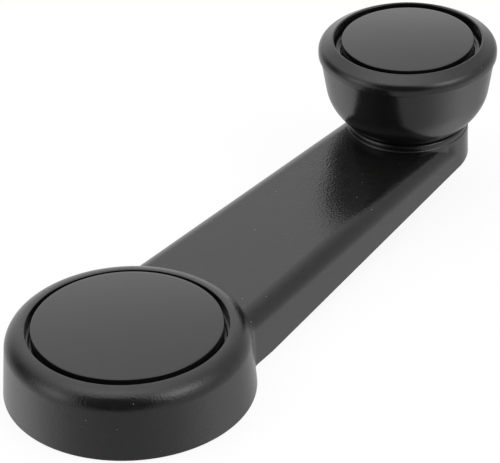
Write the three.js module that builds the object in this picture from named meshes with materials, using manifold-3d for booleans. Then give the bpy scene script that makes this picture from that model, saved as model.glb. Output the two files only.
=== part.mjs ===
// Car window winder handle: a moulded crank with a ribbed underside, a splined metal
// insert that grips the regulator's spindle, and a knob that spins on a riveted pin.
// Millimetres. The origin is on the spindle axis, in the plane of the hub's seat on the
// door. +Z points away from the door and +X points along the arm to the knob.

import * as THREE from "three";
import { mergeVertices } from "three/addons/utils/BufferGeometryUtils.js";
import Module from "manifold-3d";

const wasm = await Module();
wasm.setup();

// Overall sizes
const throwLength = 85; // spindle axis to knob axis
const hubRadius = 21.7; // at the seat
const hubHeight = 12.35; // seat to the rim round the cap
const armRootRadius = 15; // half the arm's width, extended back to the spindle axis
const bossRadius = 11.6; // the arm's round end
const knobHeight = 16.55; // foot to rim
const rimRadius = 16.5; // the knob's widest line

// Clearances between pieces
const seatGap = 0.1; // under a piece that rests on another
const fitGap = 0.3; // round a piece held in a hole
const runningGap = 0.15; // round the bearing surfaces
const knobPlay = 0.2; // how far the knob can drop onto its washer
const overrun = 1; // how far a cut runs past the face that it opens

// Hub drum
const hubDraft = 0.65; // radius lost from the seat to the shoulder
const hubRoundHeight = 3.55;
const hubRoundWidth = 3.5;
const hubRimWidth = 0.2; // flat rim round the cap recess
const hubFootRound = 0.2;
const hubWall = 2.3;
const postWall = 2.5; // round the splined insert
const postSetback = 0.4; // the post stops short of the seat plane
const pocketWall = 1.8;
const floorThickness = 2;
const hubLedgeDepth = 2.2; // the cap's skirt comes down to this ledge
const hubLedgeWidth = 2.3;
const hubMouthWidth = 0.45; // a shallow step round the mouth of the cap recess
const hubMouthDepth = 0.8;
const hubRibCount = 8;

// Arm
const armDrop = 2.7; // from the hub's rim down to the arm's top face, on the spindle axis
const armRise = 1.2; // of the top face, from one axis to the other
const armDepthAtKnob = 6.15; // top face to underside, on the knob axis
const armRound = 3.2; // along the top edges
const armDraft = 0.25;
const armFillet = 4.5; // where the arm's sides meet the drum
const armWall = 2.2;
const armSkin = 2.4; // thickness under the top face
const ribThickness = 1.5;
const ribSetback = 0.9; // the ribs stop short of the underside
const ribRoot = 0.4; // how far a rib runs into the wall that it stands on
const crossRibPitch = 9.4;

// Boss at the arm's end
const collarInset = 0.25; // from the boss's side to the collar
const collarHeight = 1.35; // above the arm's top face
const collarRound = 0.6;
const boreRing = 1.85; // open ring between the boss's wall and its core
const counterboreGap = 0.5; // round the washer under the boss
const counterboreCeiling = 4.3; // measured down from the collar's top
const bossRibCount = 6;

// Snap-in caps
const hubCapGroove = 0.95; // radial gap to the rim
const hubCapProud = 0.3; // above the rim
const knobCapGroove = 1.42;
const knobCapSunk = 0.35; // below the knob's rim
const capPlate = 1.5;
const capEdgeRound = 0.25;
const capSkirtWall = 1;
const plugWall = 1.1;
const plugDepth = 2.6;
const plugBarb = 0.15;
const plugSlotCount = 6;
const plugSlotWidth = 2.4;

// Splined insert and its screw
const splineTeeth = 30;
const splineRootRadius = 5.1;
const splineDepth = 0.4;
const insertWall = 1.4; // outside the splines, over the knurl
const knurlDepth = 0.3;
const knurlCount = 24;
const insertFlangeWidth = 2;
const insertFlange = 0.9;
const insertWeb = 1.4; // closes the socket under the screw
const screwRadius = 2.9;
const screwTip = 0.75; // height of the screw's end above the seat
const screwChamfer = 0.3;
const screwHeadRadius = 5;
const screwHeadHeight = 2.4;
const screwHeadRim = 0.9;
const screwHeadroom = 0.35; // under the cap
const driveRadius = 2.7; // half the length of the cross recess
const driveWidth = 1.1;
const driveDepth = 1.5;
const springWasherOverhang = 1.2; // past the screw's head
const springWasherThickness = 0.55;
const springWasherRise = 0.3;

// Knob
const knobFootInset = 0.65; // from the collar's radius to the knob's foot
const knobGap = 0.3; // above the collar
const bowlHeight = 6.6; // the curved lower part
const bowlInset = 1.75; // from the widest line to the top of the curve
const bowlPullInset = 1.2; // the curve's control point
const bowlPullHeight = 3.7;
const neckInset = 0.45; // just under the rim
const rimUnderInset = 0.2;
const rimHeight = 4.25; // underside of the rim to its top
const rimWaistHeight = 0.65; // underside of the rim to its upright side
const rimSide = 1.5; // height of the upright side
const rimWidth = 2.88; // widest line to the mouth of the cap recess
const rimPullInset = 0.1; // the control point of the curve over the rim
const rimPullDrop = 1.4;
const knobMouthWidth = 0.75;
const knobMouthDepth = 0.9;
const knobLedgeDepth = 2.6; // below the rim
const knobLedgeWidth = 1.27;
const knobCavityShoulder = 6.5; // height above the foot where the cavity starts to narrow
const knobCavityTaper = 2.4;
const knobFloor = 2.1;
const tubeWall = 1.6; // round the bush
const knobRibCount = 6;
const knobRibDrop = 1.2; // below the tube's top

// Pin, bush and washers in the knob
const pinRadius = 3.6;
const pinTailRadius = 2.6;
const pinHeadOverhang = 2.2;
const pinHeadHeight = 1.7;
const pinHeadRim = 0.9;
const pinHeadroom = 1.75; // under the knob's cap
const tailHeadOverhang = 1.3;
const tailHeadHeight = 1.1;
const bushWall = 1.4;
const bushFlangeOverhang = 1.35;
const bushFlange = 0.8;
const thrustWasherOverhang = 1.25; // past the bush
const thrustWasherThickness = 0.8;
const waveWasherOverhang = 2; // past the pin
const waveWasherThickness = 0.35;
const waveHeight = 0.6; // crest to trough
const waveCount = 3;
const tailWasherOverhang = 2.8; // past the pin's tail
const tailWasherThickness = 0.8;

// Steps round the curves
const hubSegments = 56;
const smallSegments = 28;
const roundSteps = 5;
const edgeSteps = 2;

// Radii that follow from the sizes above
const hubWaist = hubRadius - hubDraft;
const hubMouth = hubWaist - hubRoundWidth - hubRimWidth;
const hubCapRadius = hubMouth - hubCapGroove;
const pocketRadius = hubMouth - hubMouthWidth - hubLedgeWidth;
const insertRadius = splineRootRadius + insertWall;
const insertFlangeRadius = insertRadius + insertFlangeWidth;
const postRadius = insertRadius + fitGap + postWall;
const collarRadius = bossRadius - collarInset;
const coreRadius = bossRadius - armWall - boreRing;
const knobMouth = rimRadius - rimWidth;
const knobCapRadius = knobMouth - knobCapGroove;
const knobCavityRadius = knobMouth - knobMouthWidth - knobLedgeWidth;
const bushBore = pinRadius + runningGap;
const bushRadius = bushBore + bushWall;
const tubeBore = bushRadius + runningGap;
const tubeRadius = tubeBore + tubeWall;
const thrustWasherRadius = bushRadius + thrustWasherOverhang;
const tailWasherRadius = pinTailRadius + tailWasherOverhang;

// Heights at the hub, from the rim down
const hubCapTop = hubHeight + hubCapProud;
const hubLedge = hubHeight - hubLedgeDepth;
const screwHeadTop = hubCapTop - capPlate - screwHeadroom;
const screwSeat = screwHeadTop - screwHeadHeight;
const springWasherFoot = screwSeat - seatGap - springWasherRise - springWasherThickness;
const pocketFloor = springWasherFoot - seatGap;

// Heights of the arm and its boss
const armTopAtHub = hubHeight - armDrop;
const armTopAtKnob = armTopAtHub + armRise;
const armSlope = armRise / throwLength;
const undersideAtKnob = armTopAtKnob - armDepthAtKnob;
const undersideSlope = undersideAtKnob / (throwLength - hubRadius);
const collarTop = armTopAtKnob + collarHeight;
const tailSeat = collarTop - counterboreCeiling;

// Heights in the knob, from both ends
const thrustWasherFoot = collarTop + seatGap;
const bushFoot = thrustWasherFoot + thrustWasherThickness + knobPlay;
const knobFoot = collarTop + knobGap;
const knobTop = knobFoot + knobHeight;
const knobLedge = knobTop - knobLedgeDepth;
const knobCapTop = knobTop - knobCapSunk;
const pinHeadTop = knobCapTop - capPlate - pinHeadroom;
const pinHeadSeat = pinHeadTop - pinHeadHeight;
const waveMiddle = pinHeadSeat - seatGap - (waveHeight + waveWasherThickness) / 2;
const bushTop = pinHeadSeat - seatGap - waveHeight - waveWasherThickness - seatGap;
const tubeTop = bushTop - bushFlange - seatGap;

const at = (radius, height) => new THREE.Vector2(radius, height);

// A quarter ellipse between two profile points. It leaves the first point along the
// axis, or across it.
function quarter(from, to, leavesAcross = false, steps = roundSteps) {
  return Array.from({ length: steps + 1 }, (_, i) => {
    const turn = (i / steps) * (Math.PI / 2);
    const early = 1 - Math.cos(turn);
    const late = Math.sin(turn);
    const across = leavesAcross ? late : early;
    const along = leavesAcross ? early : late;
    return at(from.x + (to.x - from.x) * across, from.y + (to.y - from.y) * along);
  });
}

// A closed mesh as a solid that can be joined and cut.
function solid(geometry) {
  const bare = geometry.clone();
  bare.deleteAttribute("normal");
  bare.deleteAttribute("uv");
  const merged = mergeVertices(bare);
  const triVerts = [];
  for (let i = 0; i < merged.index.count; i += 3) {
    const corners = [0, 1, 2].map((k) => merged.index.getX(i + k));
    if (new Set(corners).size === 3) triVerts.push(...corners);
  }
  return new wasm.Manifold(
    new wasm.Mesh({
      numProp: 3,
      vertProperties: merged.attributes.position.array,
      triVerts: new Uint32Array(triVerts),
    }),
  );
}

// A profile in (radius, height) turned about Z. It runs anticlockwise and either starts
// and ends on the axis or closes on itself.
function turned(profile, segments = smallSegments) {
  return solid(new THREE.LatheGeometry(profile, segments).rotateX(Math.PI / 2));
}

function turnedRing(profile, segments) {
  return turned([...profile, profile[0]], segments);
}

function disc(radius, bottom, top, segments) {
  return turned([at(0, bottom), at(radius, bottom), at(radius, top), at(0, top)], segments);
}

function ring(inner, outer, bottom, top) {
  return turnedRing([at(inner, bottom), at(outer, bottom), at(outer, top), at(inner, top)]);
}

// An outline in the XY plane raised from one height to another.
function raised(outline, bottom, top) {
  const shape = new THREE.Shape(outline);
  const depth = top - bottom;
  const extrusion = new THREE.ExtrudeGeometry(shape, { depth, bevelEnabled: false });
  return solid(extrusion.translate(0, 0, bottom));
}

// An outline whose corners lie on two radii in turn, as in a spline or a knurl.
function toothed(outer, inner, count) {
  return Array.from({ length: 2 * count }, (_, i) => {
    const radius = i % 2 ? inner : outer;
    const angle = (i / count) * Math.PI;
    return at(radius * Math.cos(angle), radius * Math.sin(angle));
  });
}

// A solid from a list of points and a list of corner indices.
function faceted(points, faces) {
  const geometry = new THREE.BufferGeometry().setFromPoints(points);
  geometry.setIndex(faces);
  return solid(geometry);
}

// The faces of a strip between two rings of points, given where each ring starts.
function strip(lower, upper, size) {
  return Array.from({ length: size }, (_, i) => {
    const next = (i + 1) % size;
    return [lower + i, lower + next, upper + next, lower + i, upper + next, upper + i];
  }).flat();
}

// Joins rings of equal length and closes the two ends.
function lofted(rings) {
  const size = rings[0].length;
  const last = (rings.length - 1) * size;
  const bottom = THREE.ShapeUtils.triangulateShape(rings[0], []).flatMap(([a, b, c]) => [c, b, a]);
  const top = THREE.ShapeUtils.triangulateShape(rings.at(-1), []).flat();
  const sides = rings.slice(1).flatMap((_, i) => strip(i * size, (i + 1) * size, size));
  return faceted(rings.flat(), [...bottom, ...sides, ...top.map((k) => last + k)]);
}

// A box given by its ends along each axis.
function box([x0, x1], [y0, y1], [z0, z1]) {
  const geometry = new THREE.BoxGeometry(x1 - x0, y1 - y0, z1 - z0);
  return solid(geometry.translate((x0 + x1) / 2, (y0 + y1) / 2, (z0 + z1) / 2));
}

// Joins copies of a piece, spread evenly round the Z axis.
function spread(count, piece, firstTurn = 0) {
  const copies = Array.from({ length: count }, (_, i) =>
    piece.rotate([0, 0, (360 * (i + firstTurn)) / count]),
  );
  return joined(copies);
}

const joined = (pieces) => pieces.reduce((all, piece) => all.add(piece));
const onKnobAxis = (piece) => piece.translate(throwLength, 0, 0);
const bothSides = (size) => [-size / 2, size / 2];

// An arc of points round a centre.
function arc(centre, radius, from, to, steps) {
  return Array.from({ length: steps + 1 }, (_, i) => {
    const angle = from + ((to - from) * i) / steps;
    return at(centre.x + radius * Math.cos(angle), centre.y + radius * Math.sin(angle));
  });
}

// The arm in plan: straight sides that are tangent to the round end, and a fillet where
// each side meets the drum. An inset moves the whole outline inwards.
function armOutline(inset) {
  const lean = Math.asin((armRootRadius - bossRadius) / throwLength);
  const offset = armRootRadius + armFillet;
  const reach = Math.sqrt((hubWaist + armFillet) ** 2 - offset ** 2);
  const centre = at(
    offset * Math.sin(lean) + reach * Math.cos(lean),
    offset * Math.cos(lean) - reach * Math.sin(lean),
  );
  const towardsDrum = Math.atan2(-centre.y, -centre.x);
  const end = at(throwLength, 0);
  const half = [
    ...arc(end, bossRadius - inset, 0, Math.PI / 2 - lean, 2 * roundSteps),
    ...arc(centre, armFillet + inset, -Math.PI / 2 - lean, towardsDrum, roundSteps),
  ];
  const mirrored = half.slice(1).map((p) => at(p.x, -p.y));
  return [...half, ...mirrored.reverse()];
}

// One level of the arm: its outline at an inset, lying parallel to the top face.
function armLevel(inset, belowTop) {
  return armOutline(inset).map((p) => {
    const height = armTopAtHub + armSlope * p.x - belowTop;
    return new THREE.Vector3(p.x, p.y, height);
  });
}

// Everything above the arm's sloping underside, raised by an offset.
function aboveUnderside(offset) {
  const end = throwLength + bossRadius + overrun;
  const top = collarTop + overrun;
  const side = [
    at(0, offset),
    at(hubRadius, offset),
    at(end, offset + undersideSlope * (end - hubRadius)),
    at(end, top),
    at(0, top),
  ];
  const halfWidth = hubRadius + overrun;
  return raised(side, -halfWidth, halfWidth).rotate([90, 0, 0]);
}

// The arm as a solid bar with rounded top edges.
function armBar() {
  const shoulder = quarter(at(armDraft, armRound), at(armDraft + armRound, 0));
  const levels = shoulder.map((p) => armLevel(p.x, p.y));
  return lofted([armLevel(0, armTopAtKnob + overrun), ...levels]).intersect(aboveUnderside(0));
}

// The space under the arm's skin. Growth makes it larger all round.
function armCavity(growth) {
  const inset = armWall - growth;
  const mouth = armLevel(inset, armTopAtKnob + overrun);
  const ceiling = armLevel(inset + armDraft, armSkin - growth);
  const core = disc(coreRadius - growth, -overrun, collarTop);
  const drum = disc(hubRadius - growth, -overrun, hubHeight, hubSegments);
  return lofted([mouth, ceiling]).subtract(onKnobAxis(core)).subtract(drum);
}

// The space under the hub's floor, round the post.
function hubCavity(growth) {
  const inner = postRadius - growth;
  const outer = hubRadius - hubWall + growth;
  const step = pocketRadius + pocketWall - growth;
  const low = pocketFloor - floorThickness + growth;
  const high = hubLedge - pocketWall + growth;
  const ceiling = [at(outer - hubDraft, high), at(step, high), at(step, low), at(inner, low)];
  return turnedRing([at(inner, -overrun), at(outer, -overrun), ...ceiling], hubSegments);
}

function hubDrum() {
  const shoulder = hubHeight - hubRoundHeight;
  const foot = at(hubRadius - hubFootRound, 0);
  const profile = [
    at(0, 0),
    ...quarter(foot, at(hubRadius, hubFootRound), true, edgeSteps),
    ...quarter(at(hubWaist, shoulder), at(hubWaist - hubRoundWidth, hubHeight)),
    at(0, hubHeight),
  ];
  return turned(profile, hubSegments);
}

// The recess for the cap, with a step round its mouth, and the screw's pocket below it.
function hubRecess() {
  const top = hubHeight + overrun;
  const step = hubHeight - hubMouthDepth;
  const profile = [
    at(0, pocketFloor),
    at(pocketRadius, pocketFloor),
    at(pocketRadius, hubLedge),
    at(hubMouth - hubMouthWidth, hubLedge),
    at(hubMouth - hubMouthWidth, step),
    at(hubMouth, step),
    at(hubMouth, top),
    at(0, top),
  ];
  return turned(profile, hubSegments);
}

// The round end of the arm, with the collar that the knob turns over.
function boss() {
  const edge = at(collarRadius, collarTop - collarRound);
  const profile = [
    at(0, 0),
    at(bossRadius, 0),
    at(bossRadius - armDraft, armTopAtKnob),
    ...quarter(edge, at(collarRadius - collarRound, collarTop)),
    at(0, collarTop),
  ];
  return onKnobAxis(turned(profile, hubSegments)).intersect(aboveUnderside(0));
}

function armRibs() {
  const first = hubRadius;
  const last = throwLength - coreRadius;
  const bays = Math.round((last - first) / crossRibPitch);
  const height = [0, armTopAtKnob];
  const spine = box([0, throwLength], bothSides(ribThickness), height);
  const cross = Array.from({ length: bays - 1 }, (_, i) => {
    const x = first + ((last - first) * (i + 1)) / bays;
    return box([x - ribThickness / 2, x + ribThickness / 2], bothSides(2 * armRootRadius), height);
  });
  const spoke = box([0, bossRadius], bothSides(ribThickness), height);
  return joined([spine, ...cross, onKnobAxis(spread(bossRibCount, spoke))])
    .intersect(armCavity(ribRoot))
    .intersect(aboveUnderside(ribSetback));
}

function hubRibs() {
  const rib = box([0, hubRadius], bothSides(ribThickness), [ribSetback, hubHeight]);
  return spread(hubRibCount, rib, 0.5).intersect(hubCavity(ribRoot));
}

// The one-piece moulding: drum, arm and boss, hollow underneath with ribs.
function crankArm() {
  const flangeFoot = pocketFloor - insertFlange - seatGap;
  const postRoom = disc(postRadius + ribRoot, -overrun, postSetback);
  const insertBore = disc(insertRadius + fitGap, -overrun, pocketFloor + overrun);
  const flangeSeat = disc(insertFlangeRadius + fitGap, flangeFoot, pocketFloor + overrun);
  const pinHole = disc(pinTailRadius + fitGap, 0, collarTop + overrun);
  const tailRoom = disc(tailWasherRadius + counterboreGap, 0, tailSeat);
  return joined([hubDrum(), armBar(), boss()])
    .subtract(armCavity(0))
    .subtract(hubCavity(0))
    .add(armRibs())
    .add(hubRibs())
    .subtract(hubRecess())
    .subtract(joined([postRoom, insertBore, flangeSeat]))
    .subtract(onKnobAxis(pinHole.add(tailRoom)));
}

// A cap: a disc with a skirt under its edge and a ring of sprung fingers that grip the
// wall of the hole below.
function snapCap(radius, top, skirtFoot, gripRadius) {
  const underside = top - capPlate;
  const plugFoot = underside - plugDepth;
  const edge = quarter(at(radius, top - capEdgeRound), at(radius - capEdgeRound, top), false, edgeSteps);
  const plate = turned(
    [
      at(0, underside),
      at(radius - capSkirtWall, underside),
      at(radius - capSkirtWall, skirtFoot),
      at(radius, skirtFoot),
      ...edge,
      at(0, top),
    ],
    hubSegments,
  );
  const grip = gripRadius - plugBarb;
  const plugTop = top - capPlate / 2;
  const plug = turnedRing(
    [
      at(grip - plugWall, plugFoot),
      at(grip, plugFoot),
      at(gripRadius, plugFoot + plugDepth / 4),
      at(grip, plugFoot + plugDepth / 2),
      at(grip, plugTop),
      at(grip - plugWall, plugTop),
    ],
    hubSegments,
  );
  const slot = box([0, gripRadius + overrun], bothSides(plugSlotWidth), [plugFoot - overrun, underside]);
  return plate.add(plug.subtract(spread(plugSlotCount, slot)));
}

function hubCap() {
  return snapCap(hubCapRadius, hubCapTop, hubLedge + seatGap, pocketRadius - fitGap);
}

// A metal sleeve, knurled outside where the moulding grips it, with a splined socket for
// the spindle below and a flange that carries the screw above.
function splineInsert() {
  const knurl = toothed(insertRadius, insertRadius - knurlDepth, knurlCount);
  const splines = toothed(splineRootRadius, splineRootRadius - splineDepth, splineTeeth);
  return raised(knurl, postSetback, pocketFloor - insertFlange / 2)
    .add(disc(insertFlangeRadius, pocketFloor - insertFlange, pocketFloor))
    .subtract(raised(splines, postSetback - overrun, pocketFloor - insertWeb))
    .subtract(disc(screwRadius + fitGap, 0, pocketFloor + overrun));
}

// A dished spring washer, with its wide edge down.
function screwWasher() {
  const inner = screwRadius + fitGap;
  const outer = screwHeadRadius + springWasherOverhang;
  const dished = springWasherFoot + springWasherRise;
  return turnedRing([
    at(inner, dished),
    at(outer, springWasherFoot),
    at(outer, springWasherFoot + springWasherThickness),
    at(inner, dished + springWasherThickness),
  ]);
}

// A domed screw with a cross recess.
function retainingScrew() {
  const body = turned([
    at(0, screwTip),
    at(screwRadius - screwChamfer, screwTip),
    at(screwRadius, screwTip + screwChamfer),
    at(screwRadius, screwSeat),
    at(screwHeadRadius, screwSeat),
    ...quarter(at(screwHeadRadius, screwSeat + screwHeadRim), at(0, screwHeadTop)),
  ]);
  const depth = [screwHeadTop - driveDepth, screwHeadTop + overrun];
  const blade = box([0, driveRadius], bothSides(driveWidth), depth);
  return body.subtract(spread(4, blade));
}

// The knob's outside, from its foot up the bowl and over the rim.
function knobOutline() {
  const bowl = new THREE.QuadraticBezierCurve(
    at(collarRadius - knobFootInset, knobFoot),
    at(rimRadius - bowlPullInset, knobFoot + bowlPullHeight),
    at(rimRadius - bowlInset, knobFoot + bowlHeight),
  );
  const rimFoot = knobTop - rimHeight;
  const waist = at(rimRadius, rimFoot + rimWaistHeight);
  const rim = new THREE.QuadraticBezierCurve(
    at(rimRadius, waist.y + rimSide),
    at(rimRadius - rimPullInset, knobTop - rimPullDrop),
    at(knobMouth, knobTop),
  );
  return [
    ...bowl.getPoints(roundSteps + edgeSteps),
    at(rimRadius - neckInset, rimFoot),
    ...quarter(at(rimRadius - rimUnderInset, rimFoot), waist, true, edgeSteps),
    ...rim.getPoints(roundSteps),
  ];
}

// The cup of the knob: a recess for its cap, a hollow with ribs, and a tube for the bush.
function knobBody() {
  const floor = knobFoot + knobFloor;
  const step = knobTop - knobMouthDepth;
  const shoulder = at(knobCavityRadius, knobFoot + knobCavityShoulder);
  const outline = knobOutline();
  const cup = [
    at(0, knobFoot),
    ...outline,
    at(knobMouth, step),
    at(knobMouth - knobMouthWidth, step),
    at(knobMouth - knobMouthWidth, knobLedge),
    at(knobCavityRadius, knobLedge),
    ...quarter(shoulder, at(knobCavityRadius - knobCavityTaper, floor)),
    at(tubeRadius, floor),
    at(tubeRadius, tubeTop),
    at(0, tubeTop),
  ];
  const block = turned([at(0, knobFoot), ...outline, at(0, knobTop)], hubSegments);
  const ribHeight = [knobFoot, tubeTop - knobRibDrop];
  const rib = box([tubeBore, knobCavityRadius + ribRoot], bothSides(ribThickness), ribHeight);
  const body = turned(cup, hubSegments)
    .add(spread(knobRibCount, rib).intersect(block))
    .subtract(disc(thrustWasherRadius + fitGap, knobFoot - overrun, bushFoot))
    .subtract(disc(tubeBore, knobFoot, knobTop));
  return onKnobAxis(body);
}

function knobCap() {
  const gripRadius = knobCavityRadius - fitGap;
  return onKnobAxis(snapCap(knobCapRadius, knobCapTop, knobLedge + seatGap, gripRadius));
}

// A plain bearing, held in the knob's tube, with a flange on top.
function knobBush() {
  const flangeFoot = tubeTop + seatGap;
  const sleeve = ring(bushBore, bushRadius, bushFoot, bushTop - bushFlange / 2);
  return onKnobAxis(sleeve.add(ring(bushBore, bushRadius + bushFlangeOverhang, flangeFoot, bushTop)));
}

// The pin stands on the collar. Its tail goes through the boss and is peened over below.
function knobPin() {
  const foot = collarTop + seatGap;
  const foldSeat = tailSeat - seatGap - tailWasherThickness - seatGap;
  const headRadius = pinRadius + pinHeadOverhang;
  const tailHead = at(pinTailRadius + tailHeadOverhang, foldSeat);
  const profile = [
    ...quarter(at(0, foldSeat - tailHeadHeight), tailHead, true),
    at(pinTailRadius, foldSeat),
    at(pinTailRadius, foot),
    at(pinRadius, foot),
    at(pinRadius, pinHeadSeat),
    at(headRadius, pinHeadSeat),
    ...quarter(at(headRadius, pinHeadSeat + pinHeadRim), at(0, pinHeadTop)),
  ];
  return onKnobAxis(turned(profile));
}

function thrustWasher() {
  const top = thrustWasherFoot + thrustWasherThickness;
  return onKnobAxis(ring(bushBore, thrustWasherRadius, thrustWasherFoot, top));
}

function tailWasher() {
  const top = tailSeat - seatGap;
  const bore = pinTailRadius + runningGap;
  return onKnobAxis(ring(bore, tailWasherRadius, top - tailWasherThickness, top));
}

// A wavy spring washer between the bush's flange and the pin's head.
function waveWasher() {
  const half = waveWasherThickness / 2;
  const outer = pinRadius + waveWasherOverhang;
  const corners = [at(bushBore, -half), at(bushBore, half), at(outer, half), at(outer, -half)];
  const rings = corners.map((corner) =>
    Array.from({ length: smallSegments }, (_, i) => {
      const angle = (2 * Math.PI * i) / smallSegments;
      const height = waveMiddle + (waveHeight / 2) * Math.sin(waveCount * angle) + corner.y;
      return new THREE.Vector3(corner.x * Math.cos(angle), corner.x * Math.sin(angle), height);
    }),
  );
  const faces = rings.flatMap((_, k) => {
    const next = (k + 1) % rings.length;
    return strip(next * smallSegments, k * smallSegments, smallSegments);
  });
  return onKnobAxis(faceted(rings.flat(), faces));
}

const grainedPlastic = new THREE.MeshStandardMaterial({ color: 0x2c2d2d, roughness: 0.52 });
const smoothPlastic = new THREE.MeshStandardMaterial({ color: 0x2f3131, roughness: 0.38 });
const bearingPlastic = new THREE.MeshStandardMaterial({ color: 0xd8d4c8, roughness: 0.5 });
const platedSteel = new THREE.MeshStandardMaterial({
  color: 0xb9b7ae,
  roughness: 0.35,
  metalness: 1,
});
const springSteel = new THREE.MeshStandardMaterial({
  color: 0x6e6f72,
  roughness: 0.4,
  metalness: 1,
});

function mesh(name, piece, material) {
  const made = piece.getMesh();
  const geometry = new THREE.BufferGeometry();
  geometry.setAttribute("position", new THREE.BufferAttribute(made.vertProperties, 3));
  geometry.setIndex(new THREE.BufferAttribute(made.triVerts, 1));
  geometry.computeVertexNormals();
  const result = new THREE.Mesh(geometry, material);
  result.name = name;
  return result;
}

const winder = new THREE.Group();
winder.add(
  mesh("crank_arm", crankArm(), grainedPlastic),
  mesh("spline_insert", splineInsert(), platedSteel),
  mesh("screw_washer", screwWasher(), springSteel),
  mesh("retaining_screw", retainingScrew(), platedSteel),
  mesh("hub_cap", hubCap(), smoothPlastic),
  mesh("pin_tail_washer", tailWasher(), platedSteel),
  mesh("knob_pin", knobPin(), platedSteel),
  mesh("thrust_washer", thrustWasher(), bearingPlastic),
  mesh("knob_body", knobBody(), grainedPlastic),
  mesh("knob_bush", knobBush(), bearingPlastic),
  mesh("wave_washer", waveWasher(), springSteel),
  mesh("knob_cap", knobCap(), smoothPlastic),
);

export default winder;
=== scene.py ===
import math

import bpy
from mathutils import Matrix, Vector


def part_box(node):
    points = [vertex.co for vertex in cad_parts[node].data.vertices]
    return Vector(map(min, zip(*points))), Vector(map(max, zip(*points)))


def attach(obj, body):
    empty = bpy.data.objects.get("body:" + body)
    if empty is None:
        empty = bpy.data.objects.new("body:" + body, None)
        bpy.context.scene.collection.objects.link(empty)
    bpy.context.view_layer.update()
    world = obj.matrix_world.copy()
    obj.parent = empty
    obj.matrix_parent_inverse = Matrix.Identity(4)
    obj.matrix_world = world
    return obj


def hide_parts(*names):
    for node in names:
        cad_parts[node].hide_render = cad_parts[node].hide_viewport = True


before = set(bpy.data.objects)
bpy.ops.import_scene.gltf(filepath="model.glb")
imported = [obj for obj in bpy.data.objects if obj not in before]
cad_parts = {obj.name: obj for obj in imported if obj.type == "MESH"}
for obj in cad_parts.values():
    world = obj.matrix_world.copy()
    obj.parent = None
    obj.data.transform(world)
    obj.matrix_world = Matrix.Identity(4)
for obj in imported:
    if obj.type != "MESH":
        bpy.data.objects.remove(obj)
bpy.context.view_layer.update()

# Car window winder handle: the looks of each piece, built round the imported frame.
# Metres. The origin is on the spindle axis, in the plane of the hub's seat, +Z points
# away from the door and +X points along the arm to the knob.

bl_info = {
    "name": "Car window winder handle",
    "version": (1, 0, 0),
    "blender": (4, 5, 0),
    "location": "View3D > Sidebar > Winder",
    "description": "Models a moulded window winder with its knob, caps and fittings",
    "category": "Add Mesh",
}

MM = 0.001

# Steps round a whole turn
HUB_STEPS = 192
SMALL_STEPS = 96
WAVE_STEPS = 144
THREAD_STEPS = 48

# Steps along a part of an outline
EDGE_STEPS = 2
ROOT_STEPS = 3
CORNER_STEPS = 4
CAP_CORNER_STEPS = 5
SHORT_STEPS = 8
PEEN_STEPS = 10
HEAD_STEPS = 12
FILLET_STEPS = 14
SHOULDER_STEPS = 18
RIM_STEPS = 20
LONG_STEPS = 24
ARM_END_STEPS = 30
DRUM_SIDE_STEPS = 60
ARC_CHORD = 1.1 * MM

MERGE = 0.0005 * MM
WAVY_MERGE = 5 * MERGE
SMOOTH_ANGLE = math.radians(32)
SHARP_CORNER = math.radians(30)
CORNER_REACH = 0.98  # the share of a short side that a rounding may take

# Clearances, and the small edges and roots of every piece
OVERRUN = 1 * MM
SEAT_GAP = 0.1 * MM
FIT_GAP = 0.3 * MM
RUNNING_GAP = 0.15 * MM
SUNK = 0.03 * MM  # how far pieces of one moulding go into each other
EDGE = 0.14 * MM
FINE_EDGE = 0.07 * MM
ROOT = 0.3 * MM

# Small features of the hub
FOOT_ROUND = 0.2 * MM
POST_SETBACK = 0.4 * MM
POST_STEP = 0.2 * MM
POCKET_WALL = 1.8 * MM
ROOM_DRAFT = 0.1 * MM
HIGH_ROOM_INSET = 0.2 * MM
HIGH_ROOM_OVERLAP = 1.5 * MM

# Small features of the arm
BAR_FOOT = 2 * MM  # the bar starts this far below the seat and is cut off there
BAR_BORE = 20.2 * MM
CELL_ROUND = 0.6 * MM
CELL_DRAFT = 0.25 * MM
CELL_GAP = 0.15 * MM
FAN_RIBS = (math.radians(120), math.radians(60))
COLLAR_FOOT = ((0.1 * MM, 0.06 * MM), (0.24 * MM, 0.08 * MM))  # height and rounding
COUNTERBORE_GAP = 0.5 * MM

# The two discs
HUB_CROWN = 0.3 * MM
CAP_PLATE = 1.5 * MM
CAP_SKIRT = 1 * MM
BEAD_TOP, BEAD_MIDDLE = 0.5, 0.25  # shares of a finger's length, up from its tip
CAP_SNAP = 0.15 * MM
CAP_FINGER = 1.1 * MM
CAP_SLOTS = 6
CAP_SLOT_HALF = 1.2 * MM
CAP_SLOT_ROOF = 0.05 * MM

# The knob's outside, and its room with its tube and ribs
SKIRT = 0.2 * MM  # the knob's foot comes down this far past the CAD's
NECK_ROOT = 0.12 * MM
KNOB_FLOOR = 2.1 * MM
CAVITY_SHOULDER = 6.5 * MM
CAVITY_TAPER = 2.4 * MM
TUBE_WALL = 1.6 * MM
RIB_HALF = 0.75 * MM
RIB_DROP = 1.2 * MM
RIB_SUNK = 0.4 * MM
RIB_FOOT = 0.5 * MM
RIB_TAPER = 2 * MM
RIB_SHOULDER = 5 * MM

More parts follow.
